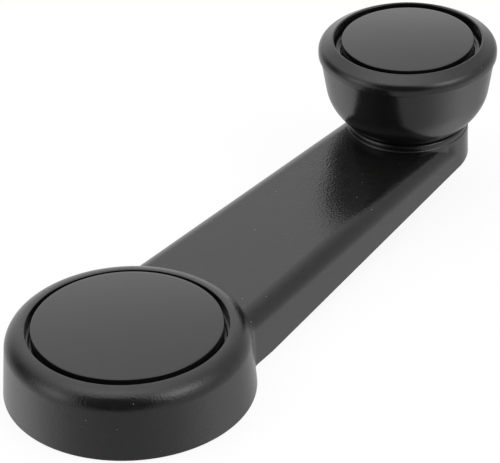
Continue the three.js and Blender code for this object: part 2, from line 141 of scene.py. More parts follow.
# Fittings
PIN_SHANK = 3.6 * MM
PIN_TAIL = 2.6 * MM
PIN_HEAD_HEIGHT = 1.7 * MM
PEEN_HEIGHT = 1.1 * MM
PEEN_WIDTH = 1.3 * MM
PEEN_SIDE = 0.1 * MM
HEAD_SIDE = 0.9 * MM
BUSH_FLANGE_WIDTH = 1.35 * MM
BUSH_FLANGE = 0.8 * MM
THRUST_EDGE = 0.15 * MM
WAVES = 3
WAVY_HALF = 0.175 * MM
DISHED_THICKNESS = 0.55 * MM
INSERT_FLANGE_WIDTH = 2 * MM
INSERT_FLANGE = 0.9 * MM
KNURL = (0.3 * MM, 36, 0.16)  # depth, number, and half a flat as a share of the pitch
KNURL_DROP = 0.5 * MM
SPLINE_RADIUS = 5.1 * MM
SPLINE_DEPTH = 0.4 * MM
SPLINE = (SPLINE_DEPTH, 30, 0.12)
SOCKET_ROOF = 1.4 * MM
SCREW_CORE = 2.45 * MM
SCREW_CREST = 2.9 * MM
SCREW_POINT = 0.5 * MM
SCREW_CROWN = 0.04 * MM
NECK_HEIGHT = 1.6 * MM
NECK_RUNOUT = 0.45 * MM
THREAD_START = 0.35 * MM
THREAD_PITCH = 1 * MM
THREAD_HALF = 0.42 * MM
THREAD_FLAT = 0.06 * MM
THREAD_ROOT = 0.15 * MM
THREAD_SHORT = 0.6  # turns left off, so that the ridge ends below the neck
DRIVE_HALF_LENGTH = 2.7 * MM
DRIVE_HALF_WIDTH = 0.5 * MM
DRIVE_DEPTHS = (1.45 * MM, 1.5 * MM)
DRIVE_CUTTER = 3 * MM


def low_high(node, axis):
    """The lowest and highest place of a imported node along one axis."""
    low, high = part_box(node)
    return low[axis], high[axis]


def node_size(node):
    """The radius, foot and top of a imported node."""
    low, high = low_high(node, 1)
    return (high - low) / 2, *low_high(node, 2)


def radius_of(node):
    return node_size(node)[0]


def foot_of(node):
    return node_size(node)[1]


def top_of(node):
    return node_size(node)[2]


KNOB_AXIS = sum(low_high("knob_cap", 0)) / 2


def prop(kind, **limits):
    """A maker of properties of one kind, from a name, a default and a description."""

    def make(name, default, description):
        return kind(name=name, default=default, description=description, **limits)

    return make


length = prop(bpy.props.FloatProperty, min=0, precision=5, unit="LENGTH")
count = prop(bpy.props.IntProperty, min=1)
tint = prop(bpy.props.FloatVectorProperty, min=0, max=1, size=3, subtype="COLOR")
share = prop(bpy.props.FloatProperty, min=0, max=1, subtype="FACTOR")
angle = prop(bpy.props.FloatProperty, subtype="ANGLE")
lens_length = prop(bpy.props.FloatProperty, unit="CAMERA")
amount = prop(bpy.props.FloatProperty, min=0)
position = prop(
    bpy.props.FloatVectorProperty, subtype="TRANSLATION", unit="LENGTH", precision=5
)


class WinderHub(bpy.types.PropertyGroup):
    """The hub drum with its cap recess and screw pocket."""

    radius: length("Radius", radius_of("crank_arm"), "At the seat on the door")
    height: length("Height", 12.35 * MM, "From the seat to the rim round the cap")
    draft: length("Draft", 0.65 * MM, "Radius lost from the seat to the shoulder")
    shoulder_height: length("Shoulder height", 3.55 * MM, "Of the rounded top edge")
    shoulder_width: length("Shoulder width", 3.5 * MM, "Of the rounded top edge")
    rim_width: length("Rim width", 0.2 * MM, "Flat rim round the cap recess")
    mouth_width: length("Mouth step width", 0.45 * MM, "Step round the mouth of the recess")
    mouth_depth: length("Mouth step depth", 2.0 * MM, "Step round the mouth of the recess")
    ledge_depth: length("Ledge depth", 3.2 * MM, "From the rim to the ledge under the cap")
    ledge_width: length("Ledge width", 2.3 * MM, "The ledge that the cap's skirt comes down to")
    wall: length("Wall", 2.3 * MM, "Outer wall, seen from below")
    floor: length("Floor", 2 * MM, "Under the screw pocket")
    post_wall: length("Post wall", 2.5 * MM, "Round the splined insert")
    ribs: count("Ribs", 8, "Radial ribs under the hub")

    @property
    def waist(self):
        return self.radius - self.draft

    @property
    def mouth(self):
        return self.waist - self.shoulder_width - self.rim_width

    @property
    def pocket(self):
        return self.mouth - self.mouth_width - self.ledge_width

    @property
    def ledge(self):
        return self.height - self.ledge_depth

    @property
    def bore(self):
        return radius_of("spline_insert") - INSERT_FLANGE_WIDTH + FIT_GAP

    @property
    def post(self):
        return self.bore + self.post_wall


class WinderArm(bpy.types.PropertyGroup):
    """The arm and its round end."""

    throw: length("Throw", KNOB_AXIS, "Spindle axis to knob axis")
    root_radius: length("Root radius", 15 * MM, "Half the width, taken back to the spindle axis")
    boss_radius: length("End radius", 11.6 * MM, "Of the arm's round end")
    drop: length("Drop", 2.7 * MM, "From the hub's rim down to the arm's top face")
    rise: length("Rise", 1.2 * MM, "Of the top face, from one axis to the other")
    depth_at_knob: length("Depth at the knob", 6.15 * MM, "Top face to underside")
    edge_round: length("Edge rounding", 3.2 * MM, "Along the top edges")
    draft: length("Draft", 0.25 * MM, "Width lost at each side, from foot to top")
    fillet: length("Fillet", 4.5 * MM, "Where the sides meet the hub")
    wall: length("Wall", 2.2 * MM, "Side walls, seen from below")
    skin: length("Skin", 2.4 * MM, "Thickness under the top face")
    rib: length("Rib thickness", 1.5 * MM, "Of every rib under the handle")
    rib_setback: length("Rib setback", 0.9 * MM, "The ribs stop short of the underside")
    rib_pitch: length("Rib pitch", 9.4 * MM, "About how far apart the cross ribs stand")
    collar_height: length("Collar height", 1.35 * MM, "Above the arm's top face")
    collar_inset: length("Collar inset", 0.4 * MM, "From the round end's side to the collar")
    collar_round: length("Collar rounding", 0.5 * MM, "Of the collar's top edge")
    core_radius: length("Core radius", 7.55 * MM, "The boss round the pin, seen from below")

    @property
    def slope(self):
        return self.rise / self.throw

    @property
    def lean(self):
        """The angle between a side of the arm and its middle."""
        return math.asin((self.root_radius - self.boss_radius) / self.throw)

    def top(self, x, hub):
        """The height of the top face at a distance from the spindle axis."""
        return hub.height - self.drop + self.slope * x

    def top_at_knob(self, hub):
        return self.top(self.throw, hub)

    def collar_top(self, hub):
        return self.top_at_knob(hub) + self.collar_height

    def side_height(self, hub):
        """How high the bar's straight side is, from its foot to its rounded edge."""
        return self.top(0, hub) - self.edge_round + BAR_FOOT


class WinderKnob(bpy.types.PropertyGroup):
    """The knob that turns on the pin."""

    radius: length("Radius", radius_of("knob_body"), "The widest line of the rim")
    foot: length("Foot", foot_of("knob_body") - SKIRT, "Height of the knob's foot")
    top: length("Top", top_of("knob_body"), "Height of the knob's rim")
    foot_radius: length("Foot radius", 10.85 * MM, "Over the collar")
    bowl_height: length("Bowl height", 6.7 * MM, "The curved lower part")
    bowl_pull_height: length("Bowl pull height", 3.05 * MM, "How full the bowl is, low for full")
    taper: share("Taper", 0.158, "How fast the side narrows from the rim down to the bowl")
    neck_inset: length("Neck inset", 0.36 * MM, "Just under the rim")
    rim_height: length("Rim height", 3.48 * MM, "Underside of the rim to its top")
    rim_under: length("Rim underside inset", 0.2 * MM, "Widest line to the rim's lower edge")
    rim_waist: length("Rim waist", 0.3 * MM, "Underside of the rim to its upright side")
    rim_side: length("Rim side", 0.65 * MM, "Height of the rim's upright side")
    rim_round: length("Rim rounding", 1.6 * MM, "From the upright side to the sloping top")
    rim_width: length("Rim width", 2.9 * MM, "Widest line to the mouth of the recess")
    mouth_width: length("Mouth step width", 1.2 * MM, "Step round the mouth of the recess")
    mouth_depth: length("Mouth step depth", 2.7 * MM, "Step round the mouth of the recess")
    mouth_fillet: length("Mouth step fillet", 0.7 * MM, "At the foot of the step's wall")
    ledge_depth: length("Ledge depth", 3.3 * MM, "From the top to the ledge under the disc")
    ledge_width: length("Ledge width", 1.02 * MM, "The ledge that the disc's skirt comes down to")
    ribs: count("Ribs", 6, "Ribs inside, between the tube and the wall")

    @property
    def mouth(self):
        return self.radius - self.rim_width

    @property
    def ledge(self):
        return self.top - self.ledge_depth

    @property
    def cavity(self):
        return self.mouth - self.mouth_width - self.ledge_width

    def side(self, height):
        """A point of the tapering side, at a height above the knob's foot."""
        neck = self.top - self.rim_height - self.foot
        narrowing = self.neck_inset + self.taper * (neck - height)
        return self.radius - narrowing, self.foot + height


class WinderFinish(bpy.types.PropertyGroup):
    """Colours and surface textures."""

    plastic: tint("Plastic", (0.0068, 0.0068, 0.0066), "The moulding's own colour")
    cap: tint("Caps", (0.0068, 0.007, 0.0073), "The colour of the two discs")
    bearing: tint("Bearing plastic", (0.62, 0.59, 0.5), "The bush and the thrust washer")
    steel: tint("Plated steel", (0.62, 0.6, 0.55), "The insert, screw, pin and washer")
    spring: tint("Spring steel", (0.2, 0.2, 0.21), "The sprung washers")
    dust: tint("Dust", (0.3, 0.3, 0.29), "Specks on the mouldings")
    grain: length("Grain", 0.42 * MM, "Size of the moulded grain")
    grain_depth: length("Grain depth", 0.024 * MM, "Height of the moulded grain")
    knob_grain: share("Knob grain", 0.35, "How much of the grain's depth the knob has")
    crown_radius: length("Crown radius", 0.25, "Of the faint doming that the discs' sheen shows")


class WinderStage(bpy.types.PropertyGroup):
    """The camera, lights and floor."""

    lens: lens_length("Lens", 222.04, "Focal length on a 36 mm sensor")
    azimuth: angle("Azimuth", math.radians(37.054), "Direction of view, from +X towards +Y")
    elevation: angle("Elevation", math.radians(32.204), "How far the camera looks down")
    roll: angle("Roll", math.radians(1.637), "Turn of the camera about its own axis")
    viewpoint: position("Viewpoint", (-0.33173, -0.27698, 0.30226), "Place of the camera")
    backdrop: tint("Backdrop", (1.0, 1.0, 1.0), "What the camera sees behind the handle")
    floor: tint("Floor", (0.9, 0.9, 0.89), "The floor's own colour")
    shadow: share("Shadow", 0.1, "How much of the floor's shadow shows")
    surround: amount("Surround", 0.88, "Light from all round the handle")


# Soft round lights in the surround: azimuth and elevation of the middle, and half width at
# half strength, in degrees, then strength. Below 0 it is a dark place in the room.
SOFT_LIGHTS = {
    "overhead": (166.3, 75.2, 29.0, 1.52),
    "left": (270.2, 41.0, 15.7, 3.03),
    "behind": (40.2, 45.2, 37.9, 0.41),
    "right of behind": (68.2, 9.9, 20.7, 0.45),
    "far right": (105.1, 13.9, 28.4, -0.94),
    "right": (149.4, 18.3, 17.0, 1.58),
    "front": (204.5, 34.8, 30.5, -2.36),
    "far left": (340.2, 32.6, 31.8, -0.32),
    "below": (0, -83.5, 51.1, -0.47),
    "low behind": (30.5, 10.7, 11.3, 0.24),
    "low right": (117.7, -31.6, 23.8, 0.81),
    "low left": (297.4, -49.5, 20.9, 1.08),
    "above the front": (217.7, 60.2, 19.6, 0.16),
}
DARKEST = 0.06

# The places of a Mix node's sockets when it mixes colours: the factor, A, B and the result
MIX_INPUTS, MIX_OUTPUT = (0, 6, 7), 2

# Size, detail and contrast of each noise in the finishes
NOISES = {
    "flow": (9 * MM,),
    "wear": (1.3 * MM, 4.0, 0.7),
    "clouds": (8 * MM,),
    "patches": (2.2 * MM, 3.0, 0.6),
    "disc's texture": (0.2 * MM,),
    "mottle": (2.5 * MM, 3.0),
    "pits": (0.1 * MM,),
    "plating": (1.8 * MM, 4.0, 0.6),
    "metal's texture": (0.15 * MM,),
}
PEBBLE_SOFTNESS = 0.5
FINE_GRAIN_SIZE = 0.4
FINE_GRAIN_CONTRAST = 0.6
FINE_GRAIN_HEIGHT = 0.25
FLOW_DEPTH = 0.05 * MM
DISC_TEXTURE_DEPTH = 0.002 * MM
DISC_CLOUD_DEPTH = 0.02 * MM
PIT_DEPTH = 0.003 * MM

# The least roughness of each finish, and what its textures add
MOULDING_ROUGHNESS, MOULDING_ADDED = 0.145, (0.06, 0.06, 0.3)
DISC_ROUGHNESS, DISC_ADDED = 0.12, (0.06, 0.05, 0.3)
BEARING_ROUGHNESS, BEARING_ADDED = 0.42, (0.12,)
METAL_ADDED = (0.18, 0.08)
PLASTIC_IOR = 1.5

# Where a texture starts and stops to show, and how light it makes the colour
WEAR_RANGE, WORN_TONE = (0.35, 0.8), 1.6
PATCH_RANGE, MOTTLE_TONE, PLATING_TONE = (0.35, 0.75), 0.8, 0.62
CLOUD_TONE = 1.4

# Specks of dust: the share of cells that hold one, and its radius; then how much they show
SPECK_SPACING = 2.2 * MM
SMALLEST_SPECK = 0.4
SPECK_RIM = (0.5, 1.0)
MOULDING_SPECKS, MOULDING_DUST = (0.7, 0.11 * MM), 0.5
DISC_SPECKS, DISC_DUST = (0.35, 0.09 * MM), 0.4

# The metals: colour, least roughness and spacing of the turning marks
METALS = {
    "plated steel": ("steel", 0.24, 0.12 * MM),
    "spring steel": ("spring", 0.3, 0.2 * MM),
}
MARK_SCALE = 0.3
MARK_WAVES = {"Distortion": 1.5, "Detail": 2.0, "Detail Scale": 2.0}
MARK_HEIGHTS = (0.6, 0.5)
MARK_DEPTH = 0.004 * MM

FLOOR_SIZE = 6
FLOOR_GAP = 0.1 * MM
SENSOR_WIDTH = 36
CLIP_RANGE = (0.01, 20)
UP = Vector((0, 0, 1))


def quarter(start, end, leaves_across=False, steps=SHOULDER_STEPS):
    """A quarter ellipse between two profile points."""
    points = []
    for i in range(steps + 1):
        turn = i / steps * math.pi / 2
        early, late = 1 - math.cos(turn), math.sin(turn)
        across, up = (late, early) if leaves_across else (early, late)
        x, y = start[0] + (end[0] - start[0]) * across, start[1] + (end[1] - start[1]) * up
        points.append((x, y))
    return points


def bezier(start, pull, end, steps):
    """Points on a quadratic curve."""
    start, pull, end = Vector(start), Vector(pull), Vector(end)
    shares = (i / steps for i in range(steps + 1))
    return [tuple((1 - t) ** 2 * start + 2 * t * (1 - t) * pull + t**2 * end) for t in shares]


def arc(centre, radius, start, end, steps=None):
    """Points on an arc; without a step count, the chords are ARC_CHORD long."""
    if steps is None:
        steps = max(1, round(abs(end - start) * radius / ARC_CHORD))
    angles = (start + (end - start) * i / steps for i in range(steps + 1))
    return [(centre[0] + radius * math.cos(a), centre[1] + radius * math.sin(a)) for a in angles]


def oblong(near, far, half):
    """A rectangle from near to far along X, and as far as half to each side."""
    return [(near, -half), (far, -half), (far, half), (near, half)]


def mirrored(half):
    """The mirror image of part of an outline, to close it with."""
    return [(x, -y) for x, y in reversed(half)]


def softened(corners, steps=CORNER_STEPS, closed=True):
    """Rounds each corner that has a third number, its radius."""
    points = []
    ends = () if closed else (0, len(corners) - 1)
    for i, (*here, radius) in enumerate((*corner, 0)[:3] for corner in corners):
        here = Vector(here)
        if not radius or i in ends:
            points.append(tuple(here))
            continue
        back = (Vector(corners[i - 1][:2]) - here).normalized()
        ahead = (Vector(corners[(i + 1) % len(corners)][:2]) - here).normalized()
        half = back.angle(ahead) / 2
        reach = radius / math.tan(half)
        centre = here + (back + ahead).normalized() * radius / math.sin(half)
        start = here + back * reach - centre
        end = here + ahead * reach - centre
        turn = math.atan2(start.cross(end), start.dot(end))
        for k in range(steps + 1):
            spoke = Matrix.Rotation(turn * k / steps, 2) @ start
            points.append(tuple(centre + spoke))
    return points


def clipped(outline, through, keep):
    """The part of an outline on one side of a line through a point, towards keep."""
    through, keep = Vector(through), Vector(keep)
    sides = [(Vector(p) - through).dot(keep) for p in outline]
    result = []
    for i, point in enumerate(outline):
        j = (i + 1) % len(outline)
        if sides[i] >= 0:
            result.append(point)
        if (sides[i] >= 0) != (sides[j] >= 0):
            part = sides[i] / (sides[i] - sides[j])
            crossing = Vector(point).lerp(Vector(outline[j]), part)
            if not result or (crossing - Vector(result[-1])).length > MERGE:
                result.append(tuple(crossing))
    return result


def with_rounded_corners(outline):
    """Gives a radius to each corner that turns sharply, then rounds those corners."""
    corners = []
    for i, point in enumerate(outline):
        back = Vector(point) - Vector(outline[i - 1])
        ahead = Vector(outline[(i + 1) % len(outline)]) - Vector(point)
        if back.angle(ahead) > SHARP_CORNER:
            reach = min(back.length, ahead.length) * CORNER_REACH
            fits = min(CELL_ROUND, reach / math.tan(back.angle(ahead) / 2))
            corners.append((*point, fits))
        else:
            corners.append(tuple(point))
    return softened(corners)


def deselect_objects():
    if bpy.context.object and bpy.context.object.mode != "OBJECT":
        bpy.ops.object.mode_set(mode="OBJECT")
    bpy.ops.object.select_all(action="DESELECT")


def chosen(piece):
    """Leaves edit mode and selects one piece."""
    deselect_objects()
    piece.select_set(True)
    bpy.context.view_layer.objects.active = piece


def placed(piece):
    """Leaves edit mode and puts the piece's origin at the frame's."""
    chosen(piece)
    bpy.ops.object.transform_apply(location=True, rotation=True, scale=True)
    return piece


def named(piece, name):
    piece.name = piece.data.name = name
    return piece


def in_edit(piece):
    chosen(piece)
    bpy.ops.object.mode_set(mode="EDIT")
    bpy.ops.mesh.select_all(action="SELECT")


def sealed(piece, merge=0.0):
    """Merges double points, turns every face outwards and leaves edit mode."""
    bpy.ops.mesh.select_all(action="SELECT")
    if merge:
        bpy.ops.mesh.remove_doubles(threshold=merge)
    bpy.ops.mesh.normals_make_consistent(inside=False)
    return placed(piece)


def extruded(offset):
    bpy.ops.mesh.extrude_region_move(TRANSFORM_OT_translate={"value": offset})


def traced(name, points, closed=True):
    """A wire through points, drawn by extruding one vertex. It is left in edit mode."""
    deselect_objects()
    bpy.ops.mesh.primitive_plane_add(size=MM, location=points[0])
    piece = named(bpy.context.object, name)
    bpy.ops.object.mode_set(mode="EDIT")
    bpy.ops.mesh.select_all(action="SELECT")
    bpy.ops.mesh.merge(type="CENTER")
    path = [Vector(p) for p in points]
    if closed:
        path.append(path[0])
    for here, there in zip(path, path[1:]):
        extruded(there - here)
    bpy.ops.mesh.select_all(action="SELECT")
    if closed:
        bpy.ops.mesh.remove_doubles(threshold=MERGE)
    return piece


def turned(name, corners, axis=0.0, steps=HUB_STEPS, corner_steps=CORNER_STEPS):
    """Corners in (radius, height) spun about an upright axis, open if they start on it."""
    closed = corners[0][0] > 0
    profile = softened(corners, corner_steps, closed)
    piece = traced(name, [(axis + r, 0, z) for r, z in profile], closed)
    bpy.ops.mesh.spin(steps=steps, angle=2 * math.pi, center=(axis, 0, 0), axis=UP)
    return sealed(piece, MERGE)


def raised(name, outline, foot, levels, slope=0.0):
    """A solid on an outline in (x, y). Each level goes in by an inset and up by a rise."""
    piece = traced(name, [(x, y, foot + slope * x) for x, y in outline])
    bpy.ops.mesh.edge_face_add()
    for inset, rise in levels:
        if inset:
            bpy.ops.mesh.inset(thickness=inset, depth=0, use_even_offset=True)
            bpy.ops.transform.translate(value=(0, 0, rise))
        else:
            extruded((0, 0, rise))
    bpy.ops.mesh.select_all(action="DESELECT")
    bpy.ops.mesh.select_mode(type="EDGE")
    bpy.ops.mesh.select_non_manifold(
        extend=False, use_wire=False, use_boundary=True, use_multi_face=False,
        use_non_contiguous=False, use_verts=False,
    )
    bpy.ops.mesh.edge_face_add()
    bpy.ops.mesh.select_mode(type="VERT")
    return sealed(piece)


def rounding(radius, steps):
    """Levels that round a top edge: the insets and rises of a quarter circle."""
    levels = quarter((0, 0), (radius, radius), steps=steps)
    return [(b[0] - a[0], b[1] - a[1]) for a, b in zip(levels, levels[1:])]


def sliced(piece, through, normal):
    """Cuts off what lies on the normal's side of a plane, and closes the cut."""
    in_edit(piece)
    bpy.ops.mesh.bisect(plane_co=through, plane_no=normal, use_fill=True, clear_outer=True)
    return placed(piece)


def with_copies(piece, number, axis=0.0):
    """Copies all of a piece round an upright axis."""
    in_edit(piece)
    sweep = 2 * math.pi * (number - 1) / number
    bpy.ops.mesh.spin(steps=number - 1, angle=sweep, dupli=True, center=(axis, 0, 0), axis=UP)
    return placed(piece)


def with_mirror(piece):
    """Adds the mirror image of a piece, across the handle's middle."""
    in_edit(piece)
    bpy.ops.mesh.duplicate()
    bpy.ops.transform.mirror(constraint_axis=(False, True, False), center_override=(0, 0, 0))
    return sealed(piece)


def together(pieces, name):
    """Joins pieces that don't touch into one object."""
    deselect_objects()
    for piece in pieces:
        piece.select_set(True)
    bpy.context.view_layer.objects.active = pieces[0]
    bpy.ops.object.join()
    return named(pieces[0], name)


def combined(piece, tool, operation):
    """Joins or cuts a piece with a tool, which is used up."""
    chosen(piece)
    bpy.ops.object.modifier_add(type="BOOLEAN")
    boolean = piece.modifiers[-1]
    boolean.operation = operation
    boolean.solver = "MANIFOLD"
    boolean.object = tool
    before = len(piece.data.polygons)
    bpy.ops.object.modifier_apply(modifier=boolean.name)
    if not piece.data.polygons or len(piece.data.polygons) == before:
        raise RuntimeError(f"{tool.name} left {piece.name} as it was")
    bpy.data.objects.remove(tool)
    return piece


def joined(piece, *tools):
    for tool in tools:
        combined(piece, tool, "UNION")
    return piece


def cut(piece, *tools):
    for tool in tools:
        combined(piece, tool, "DIFFERENCE")
    return piece


def finished(piece, body, slot, material, *nodes):
    """Smooths a piece, gives it its finish, and puts it in place of its CAD nodes."""
    placed(piece)
    bpy.ops.object.shade_smooth_by_angle(angle=SMOOTH_ANGLE)
    bpy.ops.object.modifier_add(type="WEIGHTED_NORMAL")
    weighted = piece.modifiers[-1]
    weighted.keep_sharp = True
    bpy.ops.object.modifier_apply(modifier=weighted.name)
    piece.data.materials.clear()
    piece.data.materials.append(material)
    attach(piece, body)
    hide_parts(*nodes)


def math_node(operation, swapped=False):
    """A method of Value that adds a Math node."""

    def method(value, other):
        first, second = (other, value) if swapped else (value, other)
        inputs = {0: first, 1: second}
        return value.finish.add("Math", inputs, operation=operation)

    return method


class Value:
    """A number in a material. An expression on it adds Math nodes."""

    def __init__(self, finish, socket):
        self.finish, self.socket = finish, socket

    __add__ = __radd__ = math_node("ADD")
    __rsub__ = math_node("SUBTRACT", swapped=True)
    __mul__ = __rmul__ = math_node("MULTIPLY")
    __truediv__ = math_node("DIVIDE")
    __pow__ = math_node("POWER")
    __gt__ = math_node("GREATER_THAN")


class Finish:
    """A material or world being put together."""

    def __init__(self, owner):
        owner.use_nodes = True
        self.owner, self.tree = owner, owner.node_tree
        self.tree.nodes.clear()

    def add(self, kind, inputs=(), output=0, **settings):
        """Adds a node, sets it, links or fills its sockets, and returns one output."""
        node = self.tree.nodes.new("ShaderNode" + kind)
        for key, value in settings.items():
            setattr(node, key, value)
        for key, value in dict(inputs).items():
            if isinstance(value, Value):
                self.tree.links.new(value.socket, node.inputs[key])
            else:
                node.inputs[key].default_value = value
        return Value(self, node.outputs[output] if len(node.outputs) else None)

    def place(self, centre=0.0):
        """The place on the object, measured from an upright axis."""
        place = self.add("TexCoord", output="Object")
        if not centre:
            return place
        return self.add("Mapping", {"Vector": place, "Location": (-centre, 0, 0)})

    def parts(self, kind, socket, value, outputs):
        """Several outputs of a node that takes a value apart."""
        return [self.add(kind, {socket: value}, name) for name in outputs]

    def smooth_step(self, value, low, high):
        inputs = {"Value": value, "From Min": low, "From Max": high}
        return self.add("MapRange", inputs, interpolation_type="SMOOTHSTEP")

    def mix(self, factor, first, second):
        """A colour between two colours."""
        inputs = dict(zip(MIX_INPUTS, (factor, first, second), strict=True))
        return self.add("Mix", inputs, MIX_OUTPUT, data_type="RGBA")

    def noise(self, place, size, detail=2.0, roughness=0.5):
        inputs = {"Vector": place, "Scale": 1 / size, "Detail": detail, "Roughness": roughness}
        return self.add("TexNoise", inputs)

    def cells(self, place, size, output="Distance", **smoothness):
        inputs = {"Vector": place, "Scale": 1 / size, **smoothness}
        feature = "SMOOTH_F1" if smoothness else "F1"
        return self.add("TexVoronoi", inputs, output, feature=feature)

    def bump(self, height, distance, strength=1.0, **onto):
        inputs = {"Height": height, "Distance": distance, "Strength": strength, **onto}
        return self.add("Bump", inputs)

    def surface(self, base, roughness, normal, **others):
        """Ends a material with its shader."""
        inputs = {"Base Color": base, "Roughness": roughness, "Normal": normal, **others}
        self.add("OutputMaterial", {"Surface": self.add("BsdfPrincipled", inputs)})
        return self.owner


def colour(rgb):
    return (*rgb, 1.0)


def scaled(rgb, part):
    return colour(tuple(part * c for c in rgb))


def direction(azimuth, elevation):
    """A unit vector, from an azimuth round from +X towards +Y and an elevation."""
    level = math.cos(elevation)
    return Vector((level * math.cos(azimuth), level * math.sin(azimuth), math.sin(elevation)))


def specks(finish, place, part, radius):
    """1 inside a round speck. Part is the share of the cells that hold one."""
    distance = finish.cells(place, SPECK_SPACING)
    cell = finish.cells(place, SPECK_SPACING, output="Color")
    chance, own = finish.parts("SeparateColor", "Color", cell, ("Red", "Green"))
    size = radius / SPECK_SPACING * (SMALLEST_SPECK + own)
    return (chance > 1 - part) * (1 - finish.smooth_step(distance / size, *SPECK_RIM))


def summed(least, shares, textures):
    """A least value, and a share of each texture on top."""
    for part, texture in zip(shares, textures, strict=True):
        least = least + texture * part
    return least


def grained_plastic(name, settings, grain_share):
    """Satin black moulded plastic with a fine spark grain, faint flow and dust."""
    finish = Finish(bpy.data.materials.new(name))
    place = finish.place()
    grain = settings.grain
    pebbles = finish.cells(place, grain, Smoothness=PEBBLE_SOFTNESS)
    fine = finish.noise(place, grain * FINE_GRAIN_SIZE, roughness=FINE_GRAIN_CONTRAST)
    flow, wear = (finish.noise(place, *NOISES[key]) for key in ("flow", "wear"))
    dust = specks(finish, place, *MOULDING_SPECKS)
    roughness = summed(MOULDING_ROUGHNESS, MOULDING_ADDED, (flow, wear, dust))
    worn = finish.smooth_step(wear, *WEAR_RANGE)
    base = finish.mix(worn, colour(settings.plastic), scaled(settings.plastic, WORN_TONE))
    base = finish.mix(dust * MOULDING_DUST, base, colour(settings.dust))
    normal = finish.bump(pebbles + fine * FINE_GRAIN_HEIGHT, settings.grain_depth, grain_share)
    normal = finish.bump(flow, FLOW_DEPTH, Normal=normal)
    return finish.surface(base, roughness, normal, IOR=PLASTIC_IOR)


def smooth_plastic(name, settings, centre):
    """The two discs: the same plastic off a smoother tool, faintly clouded and crowned."""
    finish = Finish(bpy.data.materials.new(name))
    place = finish.place()
    keys = ("clouds", "patches", "disc's texture")
    clouds, patches, fine = (finish.noise(place, *NOISES[key]) for key in keys)
    dust = specks(finish, place, *DISC_SPECKS)
    roughness = summed(DISC_ROUGHNESS, DISC_ADDED, (clouds, patches, dust))
    base = finish.mix(clouds, colour(settings.cap), scaled(settings.cap, CLOUD_TONE))
    base = finish.mix(dust * DISC_DUST, base, colour(settings.dust))
    x, y = finish.parts("SeparateXYZ", "Vector", finish.place(centre), "XY")
    crown = (x * x + y * y) * (-1 / (2 * settings.crown_radius))
    normal = finish.bump(crown, 1.0)
    normal = finish.bump(fine, DISC_TEXTURE_DEPTH, Normal=normal)
    normal = finish.bump(clouds, DISC_CLOUD_DEPTH, Normal=normal)
    return finish.surface(base, roughness, normal, IOR=PLASTIC_IOR)


def bearing_plastic(name, settings):
    """Pale bearing plastic, faintly mottled and finely pitted."""
    finish = Finish(bpy.data.materials.new(name))
    keys = ("mottle", "pits")
    mottle, pits = (finish.noise(finish.place(), *NOISES[key]) for key in keys)
    patches = finish.smooth_step(mottle, *PATCH_RANGE)
    base = finish.mix(patches, colour(settings.bearing), scaled(settings.bearing, MOTTLE_TONE))
    roughness = summed(BEARING_ROUGHNESS, BEARING_ADDED, (mottle,))
    return finish.surface(base, roughness, finish.bump(pits, PIT_DEPTH))


def metal(name, settings, kind, smoothest, mark_size, centre):
    """Plated or blued steel with turning marks round an axis and cloudy plating."""
    finish = Finish(bpy.data.materials.new(name))
    inputs = {"Vector": finish.place(centre), "Scale": MARK_SCALE / mark_size, **MARK_WAVES}
    rings = finish.add("TexWave", inputs, "Fac", wave_type="RINGS", rings_direction="Z")
    keys = ("plating", "metal's texture")
    clouds, fine = (finish.noise(finish.place(), *NOISES[key]) for key in keys)
    tone = getattr(settings, kind)
    patches = finish.smooth_step(clouds, *PATCH_RANGE)
    base = finish.mix(patches, colour(tone), scaled(tone, PLATING_TONE))
    roughness = summed(smoothest, METAL_ADDED, (clouds, fine))
    normal = finish.bump(summed(0, MARK_HEIGHTS, (rings, fine)), MARK_DEPTH)
    return finish.surface(base, roughness, normal, Metallic=1.0)


def finish_of(name, make, *details):
    """The material of that name, made the first time that it is asked for."""
    settings = bpy.context.scene.winder_finish
    return bpy.data.materials.get(name) or make(name, settings, *details)


def disc_plastic(centre):
    return finish_of(f"satin black disc {centre / MM:.0f}", smooth_plastic, centre)


def pale_plastic():
    return finish_of("pale bearing plastic", bearing_plastic)


def steel(kind, centre=0.0):
    return finish_of(f"{kind} {centre / MM:.0f}", metal, *METALS[kind], centre)


def fillet_centre(arm, drum_radius, side_radius):
    """The middle of the fillet where a side of the arm meets the hub."""
    side = side_radius + arm.fillet
    reach = math.sqrt((drum_radius + arm.fillet) ** 2 - side**2)
    return Matrix.Rotation(-arm.lean, 2) @ Vector((reach, side))


def heading(vector):
    return math.atan2(vector[1], vector[0])


def arm_outline(arm, drum_radius):
    """The arm in plan, closed round the hub so that its corners stay smooth."""
    lean = arm.lean
    centre = fillet_centre(arm, drum_radius, arm.root_radius - SUNK)
    end_radius = arm.boss_radius - SUNK
    half = [
        *arc((arm.throw, 0), end_radius, 0, math.pi / 2 - lean, ARM_END_STEPS),
        *arc(centre, arm.fillet, -math.pi / 2 - lean, heading(-centre), FILLET_STEPS),
        *arc((0, 0), drum_radius, heading(centre), math.pi, DRUM_SIDE_STEPS)[1:],
    ]
    return half + mirrored(half[1:-1])


def underside(arm, hub):
    """A point on the sloping underside and the way down from it."""
    rise = (arm.top_at_knob(hub) - arm.depth_at_knob) / (arm.throw - hub.radius)
    return Vector((hub.radius, 0, 0)), Vector((rise, 0, -1))


